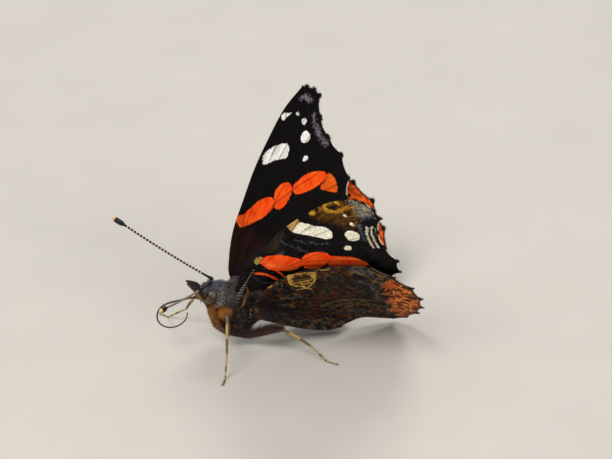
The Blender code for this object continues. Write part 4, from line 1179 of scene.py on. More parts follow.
@dataclass
class Skin:
    """One seamless skin of head, thorax and abdomen, a coat's depth inside them."""

    voxel: float = 0.16
    head_parts: tuple = (
        # centre in the body frame and radii
        ((0.0, 3.74, -2.10), (1.42, 1.20, 1.52)),
        ((0.0, 2.55, -2.25), (1.55, 1.30, 1.80)),
        ((0.0, 4.35, -2.95), (0.95, 0.75, 0.75)),
    )
    thorax_front: float = 1.95
    thorax_back: float = -5.6
    thorax_half_width: float = 2.50
    thorax_half_height: float = 3.62
    waist: tuple = ((0.0, 2.9, -5.0), (0.0, 4.75, -5.30))
    tail: tuple = (0.0, 17.0, -9.05)
    rings: int = 7
    tail_radius: float = 1.62

    def build(self, finish: bpy.types.Material) -> bpy.types.Object:
        """Join the lumps, close them to one skin and smooth it.

        Args:
            finish: Skin material.

        Returns:
            The skin.
        """
        lumps = []
        for centre, radii in self.head_parts:
            bpy.ops.object.select_all(action="DESELECT")
            bpy.ops.mesh.primitive_uv_sphere_add(segments=40, ring_count=24, radius=1.0)
            lump = bpy.context.object
            unit = np.array([v.co for v in lump.data.vertices])
            moved = to_metres(from_body(unit * np.array(radii) + np.array(centre)))
            lump.data.vertices.foreach_set("co", moved.ravel())
            lumps.append(lump)
        lumps += [self.abdomen(finish), self.thorax(finish)]
        bpy.ops.object.select_all(action="DESELECT")
        for lump in lumps:
            lump.select_set(True)
        bpy.context.view_layer.objects.active = lumps[0]
        bpy.ops.object.join()
        skin = bpy.context.object
        skin.name = "skin"
        skin.data.name = "skin"
        remesh = skin.modifiers.new("close", "REMESH")
        remesh.mode = "VOXEL"
        remesh.voxel_size = self.voxel * MM
        bpy.ops.object.modifier_apply(modifier="close")
        relax = skin.modifiers.new("relax", "SMOOTH")
        relax.iterations = 6
        bpy.ops.object.modifier_apply(modifier="relax")
        skin.data.materials.clear()
        skin.data.materials.append(finish)
        smooth_faces(skin)
        places = np.empty(len(skin.data.vertices) * 3)
        skin.data.vertices.foreach_get("co", places)
        body = to_body(places.reshape(-1, 3))
        # The skin takes the coat's colours darkened: painted shade under the coat
        write_attribute(skin.data, "coat", coat_colour(body) * 0.6)
        write_attribute(skin.data, "tip", np.full(len(body), 0.3))
        return finish_piece(skin, ("thorax", "head", "abdomen"))

    def thorax(self, finish: bpy.types.Material) -> bpy.types.Object:
        """The deep egg of the thorax, hanging lower in front of the waist."""
        t = np.linspace(0.03, 0.97, 24)
        swell = np.sin(math.pi * t ** 0.90) ** 0.50
        along = self.thorax_front + (self.thorax_back - self.thorax_front) * t
        middle = -2.35 - 0.85 * ease(t, 0.0, 0.45) - 0.1 * t
        path = np.column_stack([np.zeros(24), along, middle])
        points, faces = sweep_tube(path, np.ones(24), 36)
        turn = points[:24 * 36] - np.repeat(path, 36, axis=0)
        size = np.stack([self.thorax_half_width * swell, np.ones(24), self.thorax_half_height * swell], 1)
        points[:24 * 36] = np.repeat(path, 36, axis=0) + turn * (1, 0, 1) * np.repeat(size, 36, axis=0)
        points[24 * 36:, 1] = self.thorax_front, self.thorax_back
        return make_object("thorax_lump", to_metres(from_body(points)), faces, [finish])

    def abdomen(self, finish: bpy.types.Material) -> bpy.types.Object:
        """The tapering abdomen with grooves between its rings."""
        start, end = np.array(self.waist[1]), np.array(self.tail)
        count = self.rings * 8
        t = np.linspace(0, 1, count + 1)
        path = start + (end - start) * t[:, None]
        wide = (0.60 + 0.40 * ease(t, 0.0, 0.35)) * np.sqrt(np.maximum(0.02, 1 - (np.maximum(0, t - 0.45) / 0.6) ** 2))
        groove = 1 - 0.09 * np.cos(t * self.rings * math.pi) ** 8
        radii = self.tail_radius * wide * groove
        path = np.vstack([np.array(self.waist[0])[None], path])
        radii = np.concatenate([[0.8], radii])
        points, faces = sweep_tube(path, radii, 32)
        return make_object("abdomen_lump", to_metres(points), faces, [finish])


# ---------------------------------------------------------------- coat


@dataclass
class Coat:
    """A coat of thin solid tufts: three-sided blades that taper and bend back."""

    name: str
    slot: str
    roots: np.ndarray
    normals: np.ndarray
    lies: np.ndarray
    lengths: np.ndarray
    widths: np.ndarray
    lifts: np.ndarray
    colours: np.ndarray
    bake: np.ndarray
    droop: float = 0.75

    def build(self, finish: bpy.types.Material) -> bpy.types.Object:
        """Make every tuft in one mesh.

        Args:
            finish: Coat material.

        Returns:
            The coat.
        """
        normal = self.normals / np.linalg.norm(self.normals, axis=1)[:, None]
        lie = self.lies - normal * np.sum(self.lies * normal, 1)[:, None]
        lie = lie / np.maximum(np.linalg.norm(lie, axis=1), 1e-9)[:, None]
        side = np.cross(normal, lie)
        levels = ((0.0, 1.0, 0.0), (0.5, 0.72, 0.35), (0.8, 0.36, 0.65))
        length, width = self.lengths[:, None], self.widths[:, None]
        centre = self.roots - normal * 0.06
        rings, tips = [], []
        before = 0.0
        for share, wide, bend in levels:
            angle = (self.lifts * (1 - self.droop * bend))[:, None]
            centre = centre + (np.cos(angle) * lie + np.sin(angle) * normal) * length * (share - before)
            before = share
            upward = np.cos(angle) * normal - np.sin(angle) * lie
            rings.append(centre + side * width * wide * 0.5)
            rings.append(centre - side * width * wide * 0.5)
            rings.append(centre + upward * width * wide * 0.42)
            tips += [share] * 3
        angle = (self.lifts * (1 - self.droop))[:, None]
        rings.append(centre + (np.cos(angle) * lie + np.sin(angle) * normal) * length * (1 - before))
        tips.append(1.0)
        each = len(rings)
        points = np.stack(rings, 1).reshape(-1, 3)
        base = [(0, 1, 2)]
        for k in (0, 3):
            base += [(k, k + 3, k + 4, k + 1), (k + 1, k + 4, k + 5, k + 2), (k + 2, k + 5, k + 3, k)]
        base += [(6, 9, 7), (7, 9, 8), (8, 9, 6)]
        faces = [tuple(i + n * each for i in face) for n in range(len(self.roots)) for face in base]
        coat = make_object(self.name, to_metres(points), faces, [finish])
        write_attribute(coat.data, "coat", np.repeat(self.colours, each, axis=0))
        write_attribute(coat.data, "tip", np.tile(np.array(tips), len(self.roots)))
        spread = np.array([(x, y) for x, y in zip((-1, 1, 0, -1, 1, 0, -1, 1, 0, 0),
                                                  (0, 0, 0, 0.5, 0.5, 0.5, 0.8, 0.8, 0.8, 1.0))])
        patch_uv = np.repeat(self.bake, each, axis=0) + np.tile(spread * BAKE_PATCH / 2, (len(self.roots), 1))
        write_uv(coat.data, "OFBake", patch_uv)
        smooth_faces(coat)
        return finish_piece(coat)


def scatter(piece: bpy.types.Object, count: int, seed: int) -> tuple[np.ndarray, np.ndarray]:
    """Random places and normals spread evenly over a piece.

    Args:
        piece: Finished piece in metres.
        count: How many places.
        seed: Seed of the random numbers.

    Returns:
        World millimetres and world normals.
    """
    rng = np.random.default_rng(seed)
    mesh = piece.data
    mesh.calc_loop_triangles()
    points = np.empty(len(mesh.vertices) * 3)
    mesh.vertices.foreach_get("co", points)
    points = points.reshape(-1, 3) / MM + SHIFT
    tris = np.empty(len(mesh.loop_triangles) * 3, np.int32)
    mesh.loop_triangles.foreach_get("vertices", tris)
    a, b, c = (points[tris.reshape(-1, 3)[:, k]] for k in range(3))
    cross = np.cross(b - a, c - a)
    area = np.linalg.norm(cross, axis=1)
    chosen = rng.choice(len(area), count, p=area / area.sum())
    u, v = rng.random(count), rng.random(count)
    turned = u + v > 1
    u[turned], v[turned] = 1 - u[turned], 1 - v[turned]
    u, v = u[:, None], v[:, None]
    places = a[chosen] * (1 - u - v) + b[chosen] * u + c[chosen] * v
    return places, cross[chosen] / area[chosen][:, None]


def unwrap_round(body: np.ndarray) -> np.ndarray:
    """Place of each root on an unwrap of the skin, rolled off round its long axis."""
    round_by = np.arctan2(body[:, 0], body[:, 2] + 2.9 + 0.12 * body[:, 1]) / (2 * math.pi) + 0.5
    along = (body[:, 1] + 18.0) / 24.0
    return np.stack([0.01 + 0.97 * np.clip(round_by, 0, 1), 0.01 + 0.97 * np.clip(along, 0, 1)], 1)


EYE_CENTRE = np.array((1.15, 3.60, -2.42))
EYE_RADII = np.array((0.86, 0.98, 1.28))


@dataclass
class BodyCoat:
    """The coat over the skin, split where its length and lie change."""

    seed: int = 11
    count: int = 52000

    def lie(self, body: np.ndarray, rng: np.random.Generator) -> np.ndarray:
        """Direction in which the coat lies, in the body frame."""
        x, s, h = body[:, 0], body[:, 1], body[:, 2]
        out = np.tile(np.array((0.0, -1.0, 0.0)), (len(body), 1))
        out[:, 0] += 0.30 * np.tanh(x / 1.2) * ease(s, -5.0, -3.0)
        low = ease(-h, 3.0, 4.6) * ease(s, -5.4, -3.8)
        out = out * (1 - low)[:, None] + np.array((0.0, -0.55, -0.85)) * low[:, None]
        out[:, 0] += low * 0.1 * np.sign(x)
        crown = ease(s, 2.6, 3.4)
        out = out * (1 - crown)[:, None] + np.array((0.0, -0.75, 0.30)) * crown[:, None]
        face = ease(s, 3.8, 4.6) * ease(-h, 1.4, 2.2)
        out = out * (1 - face)[:, None] + np.array((0.0, 0.25, -1.0)) * face[:, None]
        brow = ease(s, 3.9, 4.5) * ease(-h, 0.9, 1.5) * (1 - ease(-h, 2.9, 3.4))
        out = out * (1 - brow)[:, None] + np.array((0.0, 1.0, -0.30)) * brow[:, None]
        tail = ease(-s, 5.0, 6.2)
        end = (np.array((0.0, 12.25, -3.75)) / 12.8) @ AXES.T
        out = out * (1 - tail)[:, None] + end * tail[:, None]
        wave = np.stack([np.sin(3.1 * s + 2.3 * h), np.sin(2.7 * x + 3.7 * h), np.sin(3.3 * x - 2.9 * s)], 1)
        return out + 0.16 * wave + rng.normal(0.0, 0.16, out.shape)

    def length(self, body: np.ndarray) -> np.ndarray:
        """Length of each tuft in millimetres."""
        s, h = body[:, 1], body[:, 2]
        out = 1.15 - 0.30 * ease(-h, 3.4, 5.4)
        out = out - 0.38 * ease(s, 2.4, 3.4)
        out = out - 0.42 * ease(s, 3.7, 4.5) * ease(-h, 2.8, 3.4)
        out = out + 0.50 * ease(s + 0.30 * h, -1.4, -0.3) * ease(-h, 3.2, 4.2) * (1 - ease(s, 2.2, 3.0))
        out = out + 1.10 * ease(-h, 4.6, 6.0) * (1 - ease(s, 1.6, 2.4))
        out = out + 0.20 * ease(s, 1.2, 1.9) * (1 - ease(s, 2.4, 3.0))
        tail = ease(-s, 4.8, 6.2)
        return out * (1 - tail) + 0.52 * tail

    def build(self, skin: bpy.types.Object, finish: bpy.types.Material) -> None:
        """Plant the coat in four pieces.

        Args:
            skin: The finished skin.
            finish: Coat material.
        """
        rng = np.random.default_rng(self.seed)
        places, normals = scatter(skin, self.count, self.seed)
        body = to_body(to_metres(places))
        gap = (np.abs(body[:, 0])[:, None] * (1, 0, 0) + body * (0, 1, 1) - EYE_CENTRE) / (EYE_RADII + 0.10)
        keep = np.linalg.norm(gap, axis=1) > 1.0
        thin = np.random.default_rng(self.seed + 1).random(len(body))
        keep &= thin < 0.93 - 0.43 * ease(-body[:, 1], 4.8, 6.2)
        places, normals, body = places[keep], normals[keep], body[keep]
        n = len(body)
        lies = from_body(self.lie(body, rng))
        length = self.length(body) * rng.uniform(0.65, 1.25, n)
        tail = ease(-body[:, 1], 4.8, 6.2)
        crown = ease(body[:, 1], 2.0, 3.2) * ease(body[:, 2], -2.6, -1.4)
        under = ease(-body[:, 2], 4.4, 5.8) * (1 - tail)
        lift = np.radians(32 - 18 * tail + 20 * crown + 12 * under) * rng.uniform(0.6, 1.5, n)
        down = ease(-normals[:, 2], 0.2, 0.8) * tail * (1 - ease(-body[:, 1], 8.5, 10.5))
        length = length + 0.95 * down
        lies = lies + np.array((0.0, 0.25, -1.1)) * down[:, None]
        width = (0.085 + 0.035 * rng.random(n)) * (1 - 0.25 * ease(body[:, 1], 3.4, 4.4))
        shade = rng.uniform(0.55, 1.45, n)
        pale = rng.random(n) < 0.16
        colours = coat_colour(body) * (shade * np.where(pale, 2.0, 1.0))[:, None]
        s, h = body[:, 1], body[:, 2]
        parts = (
            ("coat_head", "head", s > 2.4),
            ("coat_back", "thorax", (s <= 2.4) & (s > -5.4) & (h > -3.2)),
            ("coat_chest", "thorax", (s <= 2.4) & (s > -5.4) & (h <= -3.2)),
            ("coat_abdomen", "abdomen", s <= -5.4),
        )
        for name, slot, own in parts:
            Coat(name, slot, places[own], normals[own], lies[own], length[own], width[own], lift[own],
                 colours[own], unwrap_round(body[own])).build(finish)


@dataclass
class WingHair:
    """Chequered fringe along a wing's outer edge, and long soft hair over its root."""

    wing: Wing
    spacing: float = 0.075
    fringe: float = 0.36
    reach: float = 6.5
    hairs: int = 2600
    white: str = "#e4e0d4"
    buff: str = "#8a7660"
    black: str = "#120e0d"
    brown: str = "#1c1412"

    def build(self, finish: bpy.types.Material) -> None:
        """Plant both coats of one wing.

        Args:
            finish: Coat material.
        """
        self.edge(finish)
        self.roots(finish)

    def directions(self, flat: np.ndarray, ahead: np.ndarray) -> tuple[np.ndarray, np.ndarray]:
        """World direction of a flat one, and the upper side's normal, at each place."""
        here = self.wing.place(flat, np.zeros(len(flat)))
        along = self.wing.place(flat + ahead * 0.2, np.zeros(len(flat))) - here
        return along, self.wing.place(flat, np.ones(len(flat))) - here

    def edge(self, finish: bpy.types.Material) -> None:
        """White scales between the vein ends and black tufts on them."""
        wing = self.wing
        line, ends = wing.margin()
        line = line * wing.size
        far = np.concatenate([[0.0], np.cumsum(np.linalg.norm(np.diff(line, axis=0), axis=1))])
        want = np.arange(0.0, far[-1], self.spacing)
        spots = np.stack([np.interp(want, far, line[:, k]) for k in (0, 1)], 1)
        loop = wing.outline()
        spots = spots[line_distance(spots, np.vstack([loop, loop[:1]])) < 0.12]
        along = np.gradient(spots, axis=0)
        outward = np.stack([-along[:, 1], along[:, 0]], 1) / np.linalg.norm(along, axis=1)[:, None]
        outward *= np.sign(np.sum(outward * spots, 1))[:, None]
        rng = np.random.default_rng(len(spots))
        places, lies, normals = [], [], []
        for face in (1, -1):
            inner = spots - outward * 0.10
            ahead, normal = self.directions(inner, outward + rng.normal(0, 0.16, outward.shape))
            places.append(wing.place(inner, np.full(len(inner), 0.05 * face)))
            lies.append(ahead)
            normals.append(normal * face)
        spots = np.vstack([spots, spots])
        near = np.min(np.linalg.norm(spots[:, None] / wing.size - ends[None], axis=2), axis=1)
        dark = near < 0.62 + rng.normal(0, 0.12, len(spots))
        pale = self.white if wing.kind is WingKind.FORE else self.buff
        tint = np.where(dark[:, None], hex_colour(self.black)[:3], hex_colour(pale)[:3])
        n = len(spots)
        Coat(f"coat_fringe_{wing.name}", wing.kind.value, np.vstack(places), np.vstack(normals), np.vstack(lies),
             self.fringe * np.where(dark, 1.15, 0.95) * rng.uniform(0.8, 1.15, n), np.full(n, 0.085),
             np.radians(4) * rng.uniform(0.2, 1.8, n), tint * rng.uniform(0.75, 1.1, n)[:, None],
             0.5 + spots / 64).build(finish)

    def roots(self, finish: bpy.types.Material) -> None:
        """Hair that thins out from the wing's root over both its faces."""
        wing = self.wing
        rng = np.random.default_rng(int(wing.dihedral * 10))
        tall = 1.0 if wing.kind is WingKind.FORE else 0.55
        flat = rng.uniform((-3.0, -self.reach / tall), (self.reach, 3.5), (self.hairs * 5, 2))
        far = np.hypot(flat[:, 0], flat[:, 1] * tall)
        keep = (far < self.reach) & (rng.random(len(flat)) > (far / self.reach) ** 1.5)
        loop = wing.outline()
        keep &= inside_loop(flat, loop)
        flat, far = flat[keep][:self.hairs], far[keep][:self.hairs]
        keep = line_distance(flat, np.vstack([loop, loop[:1]])) > 0.2
        flat, far = flat[keep], far[keep]
        n = len(flat)
        ahead = flat + (1.5, 0.0)
        ahead = ahead / np.linalg.norm(ahead, axis=1)[:, None] + rng.normal(0, 0.3, flat.shape)
        along, normal = self.directions(flat, ahead)
        face = np.where(np.arange(n) % 2 == 0, 1.0, -1.0)
        places = wing.place(flat, np.where(face > 0, 0.0, -0.14))
        length = (1.25 - 0.8 * far / self.reach) * rng.uniform(0.6, 1.2, n)
        tint = np.array(hex_colour(self.brown)[:3]) * rng.uniform(0.5, 1.7, n)[:, None]
        Coat(f"coat_root_{wing.name}", wing.kind.value, places, normal * face[:, None], along, length,
             np.full(n, 0.07), np.radians(16) * rng.uniform(0.4, 1.6, n), tint, 0.5 + flat / 64).build(finish)


@dataclass
class ShoulderPlates:
    """The domed hairy plates that cover the forewing roots."""

    centre: tuple = (2.25, -0.50, -0.12)
    radii: tuple = (0.62, 0.95, 0.42)
    tufts: int = 900

    def build(self, finish: bpy.types.Material) -> None:
        """Make each plate with its coat.

        Args:
            finish: Coat material.
        """
        for side, word in SIDES:
            bpy.ops.object.select_all(action="DESELECT")
            bpy.ops.mesh.primitive_uv_sphere_add(segments=28, ring_count=18, radius=1.0)
            plate = bpy.context.object
            plate.name = plate.data.name = f"shoulder_plate_{word}"
            unit = np.array([v.co for v in plate.data.vertices])
            body = (unit * self.radii + self.centre) * (side, 1, 1)
            plate.data.vertices.foreach_set("co", to_metres(from_body(body)).ravel())
            if side < 0:
                plate.data.flip_normals()
            # The plate takes the coat's colours darkened: painted shade under its coat
            write_attribute(plate.data, "coat", coat_colour(body) * 0.6)
            write_attribute(plate.data, "tip", np.full(len(body), 0.3))
            plate.data.materials.append(finish)
            smooth_faces(plate)
            finish_piece(plate)
            rng = np.random.default_rng(83 + side)
            places, normals = scatter(plate, self.tufts, 23 + side)
            n = len(places)
            lies = from_body(np.tile((0.45 * side, -1.0, 0.25), (n, 1)) + rng.normal(0, 0.25, (n, 3)))
            spots = to_body(to_metres(places))
            Coat(f"coat_shoulder_{word}", "forewing", places, normals, lies, rng.uniform(0.5, 1.0, n),
                 np.full(n, 0.08), np.radians(20) * rng.uniform(0.4, 1.6, n),
                 coat_colour(spots) * rng.uniform(0.6, 1.5, n)[:, None], unwrap_round(spots)).build(finish)


@dataclass
class RootStrap:
    """The ribbed vein base that runs from a forewing's underside down the side of the thorax."""

    flat: tuple = ((6.9, 1.8), (5.0, 1.35), (3.2, 0.9), (1.5, 0.35))
    flank: tuple = ((2.80, -0.10, -0.55), (2.98, -0.20, -1.30), (2.66, -0.10, -2.55))
    ribs: int = 14
    depth: float = 0.14
    stripe_back: float = 0.95

    def build(self, wing: Wing, ribbed: bpy.types.Material, golden: bpy.types.Material) -> None:
        """Make the ribbed strap and the gold-brown stripe behind it.

        Args:
            wing: The forewing that it holds.
            ribbed: Finish of the strap.
            golden: Finish of the stripe.
        """
        word = "left" if wing.side > 0 else "right"
        start = 0 if wing.side > 0 else 1
        held = wing.place(np.array(self.flat[start:]), np.full(len(self.flat) - start, -0.36))
        low = from_body(np.array(self.flank) * (1.0 if wing.side > 0 else -0.88, 1, 1))
        path = smooth_curve(np.vstack([held, low]), 132)
        t = np.linspace(0, 1, 132)
        crest = np.abs(np.cos(t * math.pi * self.ribs))
        taper = 0.40 + 0.60 * ease(t, 0.26, 0.56) - 0.25 * ease(t, 0.90, 1.0)
        points, faces = sweep_tube(path, self.depth * taper * (0.86 + 0.34 * crest ** 4), 18, 3.9)
        strap = make_object(f"root_strap_{word}_ribbed", to_metres(points), faces, [ribbed])
        band = ease(crest, 0.80, 0.95) * (1 - 0.55 * ease(t, 0.55, 0.9))
        facing = (points[:-2] - np.repeat(path, 18, axis=0))[:, 0] * wing.side
        write_attribute(strap.data, "band", np.concatenate([np.repeat(band, 18) * (facing > 0), [0.0, 0.0]]))
        smooth_faces(strap)
        finish_piece(strap)
        behind = AXES[1] * -self.stripe_back
        part = path[58:] + behind * ease(t[58:], 0.40, 0.62)[:, None]
        points, faces = sweep_tube(part, 0.10 * np.sin(math.pi * np.linspace(0.08, 0.95, len(part))) + 0.02, 12, 2.2)
        stripe = make_object(f"root_stripe_{word}", to_metres(points), faces, [golden])
        smooth_faces(stripe)
        finish_piece(stripe)


# ---------------------------------------------------------------- head parts


SIDES = ((1, "left"), (-1, "right"))


@dataclass
class Eyes:
    """The two domed compound eyes."""

    def build(self, finish: bpy.types.Material) -> None:
        """Make each eye from a sphere, set in its socket and barred."""
        for side, word in SIDES:
            bpy.ops.object.select_all(action="DESELECT")
            bpy.ops.mesh.primitive_uv_sphere_add(segments=56, ring_count=36, radius=1.0)
            eye = bpy.context.object
            eye.name = eye.data.name = f"eye_{word}_domed"
            unit = np.array([v.co for v in eye.data.vertices])
            full = unit * (1 - 0.06 * np.abs(unit[:, 1:2]) ** 3)
            body = full * EYE_RADII * (0.97, 0.97, 0.97) + EYE_CENTRE
            body[:, 0] *= side
            eye.data.vertices.foreach_set("co", to_metres(from_body(body)).ravel())
            if side < 0:
                eye.data.flip_normals()
            bar = ease(unit[:, 1], 0.80, 0.95) + 0.8 * ease(-unit[:, 1], 0.65, 0.92)
            slant = unit[:, 2] - 0.06 - 0.30 * unit[:, 1]
            band = np.exp(-(slant / 0.15) ** 2) * ease(unit[:, 1], -0.55, -0.15)
            write_attribute(eye.data, "bar", np.clip(bar + band, 0, 1))
            # Share of paler olive, growing towards the top of each eye: painted light from above
            write_attribute(eye.data, "high", ease(unit[:, 2], -0.15, 0.55))
            eye.data.materials.append(finish)
            smooth_faces(eye)
            finish_piece(eye, (f"eye_{word}",))


@dataclass
class Palps:
    """The pair of scaled palps that make the pointed beak."""

    path: tuple = ((0.80, 4.45, -3.35), (0.88, 5.20, -2.90), (0.78, 5.75, -2.28), (0.60, 6.55, -1.90),
                   (0.48, 7.72, -1.60))
    radii: tuple = (0.30, 0.38, 0.46, 0.52, 0.50, 0.42, 0.32, 0.14)
    tufts: int = 3000

    def build(self, skin: bpy.types.Material, coat: bpy.types.Material) -> None:
        """Make each palp and its close coat, dark above and tan below."""
        above, below = (np.array(hex_colour(c)[:3]) for c in ("#2e2628", "#8f6c40"))
        for side, word in SIDES:
            path = from_body(np.array(self.path) * (side, 1, 1))
            stations = smooth_curve(path, 30)
            radii = np.interp(np.linspace(0, 7, 30), np.arange(8), self.radii)
            points, faces = sweep_tube(stations, radii, 16, 0.72)
            palp = make_object(f"palp_{word}_skin", to_metres(points), faces, [skin])
            smooth_faces(palp)
            heights = to_body(to_metres(points))
            under = ease(-(heights[:, 2] - 0.5 * heights[:, 1]), 5.25, 5.7)
            # The palp takes its coat's colours darkened: painted shade under the coat
            write_attribute(palp.data, "coat", mix(np.tile(above, (len(points), 1)), below, under) * 0.6)
            write_attribute(palp.data, "tip", np.full(len(points), 0.3))
            finish_piece(palp, (f"palp_{word}",))
            rng = np.random.default_rng(31 + side)
            places, normals = scatter(palp, self.tufts, 17 + side)
            body = to_body(to_metres(places))
            under = ease(-(body[:, 2] - 0.5 * body[:, 1]), 5.25, 5.7)
            near = np.argmin(np.linalg.norm(places[:, None] - stations[None], axis=2), axis=1)
            ahead = stations[np.minimum(near + 1, 29)] - stations[np.maximum(near - 1, 0)]
            lies = ahead / np.linalg.norm(ahead, axis=1)[:, None] + rng.normal(0, 0.12, ahead.shape)
            n = len(places)
            colours = mix(np.tile(above, (n, 1)), below, under) * rng.uniform(0.7, 1.4, n)[:, None]
            share = near / 29
            Coat(f"coat_palp_{word}", "palp", places, normals, lies,
                 (0.52 - 0.26 * share) * rng.uniform(0.7, 1.3, n), np.full(n, 0.075),
                 np.radians(24) * rng.uniform(0.5, 1.6, n), colours,
                 np.stack([0.02 + 0.4 * share + 0.5 * (side < 0), 0.02 + 0.9 * rng.random(n)], 1)).build(coat)


@dataclass
class Antennae:
    """The two feelers: a ringed shaft and a flattened black club with a pale tip."""

    roots: tuple = ((0.80, 4.60, -0.48), (-0.76, 4.62, -0.08))
    tips: tuple = ((13.4, -14.83, 4.53), (-9.0, -17.51, 9.49))
    club: float = 2.5
    ring_pitch: float = 0.56
    radius: float = 0.15

    def build(self, ringed: bpy.types.Material, black: bpy.types.Material) -> None:
        """Make each shaft from its rings, then its club."""
        for (side, word), root, tip in zip(SIDES, self.roots, self.tips):
            start, end = from_body(np.array(root))[0], np.array(tip)
            ahead = (end - start) / np.linalg.norm(end - start)
            start = start - ahead * 0.8
            length = np.linalg.norm(end - start)
            shaft = length - self.club + 0.25
            far = np.arange(0.0, shaft, self.ring_pitch / 8)
            phase = (far / self.ring_pitch) % 1.0
            swell = 1 + 0.16 * np.sin(math.pi * phase) ** 0.6
            base = 1 + 0.45 * (1 - ease(far, 0.45, 0.75)) + 0.2 * (1 - ease(far, 0.9, 1.1))
            sag = 0.22 * np.sin(math.pi * far / shaft)
            path = start + ahead * far[:, None] - np.array((0, 0, 1.0)) * sag[:, None]
            points, faces = sweep_tube(path, self.radius * swell * base, 12)
            piece = make_object(f"antenna_{word}_ringed", to_metres(points), faces, [ringed])
            # The left shaft stays dark for its first 4.8 mm and the right for 1.8 mm; the longer dark stretch on the
            # left is painted shade where it passes the palp
            pale = np.where((phase > 0.62) & (far > (4.8 if side > 0 else 1.8)), 1.0, 0.0)
            write_attribute(piece.data, "band", np.concatenate([np.repeat(pale, 12), [0.0, 0.0]]))
            smooth_faces(piece)
            finish_piece(piece, (f"antenna_{word}",))
            t = np.linspace(0, 1, 26)
            wide = 0.15 + 0.30 * ease(t, 0.0, 0.45) * np.sqrt(np.maximum(0.0, 1 - ease(t, 0.72, 1.03) * 0.93))
            wide = wide * (1 + 0.035 * np.cos(t * 2 * math.pi * 9))
            points, faces = sweep_tube(start + ahead * (length - self.club * (1 - t))[:, None], wide, 18, 0.86)
            piece = make_object(f"antenna_club_{word}_scaled", to_metres(points), faces, [black])
            band = np.concatenate([np.repeat(ease(t, 0.80, 0.92), 18), [0.0, 1.0]])
            write_attribute(piece.data, "band", band)
            smooth_faces(piece)
            finish_piece(piece, (f"antenna_club_{word}",))


@dataclass
class Tongue:
    """The half-uncoiled tongue: two half-tubes side by side, finely ringed."""

    centre: tuple = (0.0, -10.25, -3.85)
    radii: tuple = (2.42, 2.22)

    def build(self, finish: bpy.types.Material) -> None:
        """Make the tongue along its coil."""
        cx, cy, cz = self.centre
        ry, rz = self.radii
        places = [(0.0, -5.2, -1.75), (0.0, -6.10, -1.50), (0.0, -6.7, -1.28), (0.0, -7.6, -1.25),
                  (0.0, -9.0, -1.45)]
        for turn in (95, 125, 155, 185, 215, 245, 275, 305, 335, 362):
            a = math.radians(turn)
            places.append((cx, cy + math.cos(a) * ry, cz + math.sin(a) * rz))
        path = smooth_curve(places, 260)
        t = np.linspace(0, 1, 260)
        ring = 1 + 0.07 * np.cos(np.arange(260) * math.pi / 2)
        radii = (0.19 - 0.09 * t ** 1.4) * ring
        tongue = make_object("tongue", *self.double(path, radii), [finish])
        smooth_faces(tongue)
        finish_piece(tongue, ("tongue_1", "tongue_2", "tongue_3"))

    def double(self, path: np.ndarray, radii: np.ndarray) -> tuple[np.ndarray, list]:
        """Points in metres and faces of a rod with a groove along its top and bottom."""
        sides = 16
        points, faces = sweep_tube(path, radii, sides)
        turn = 2 * math.pi * np.arange(sides) / sides
        waist = 1 - 0.22 * np.abs(np.sin(turn)) ** 6
        centre = np.repeat(path, sides, axis=0)
        body = points[:len(centre)]
        points[:len(centre)] = centre + (body - centre) * np.tile(waist, len(path))[:, None]
        return to_metres(points), faces


# ---------------------------------------------------------------- legs


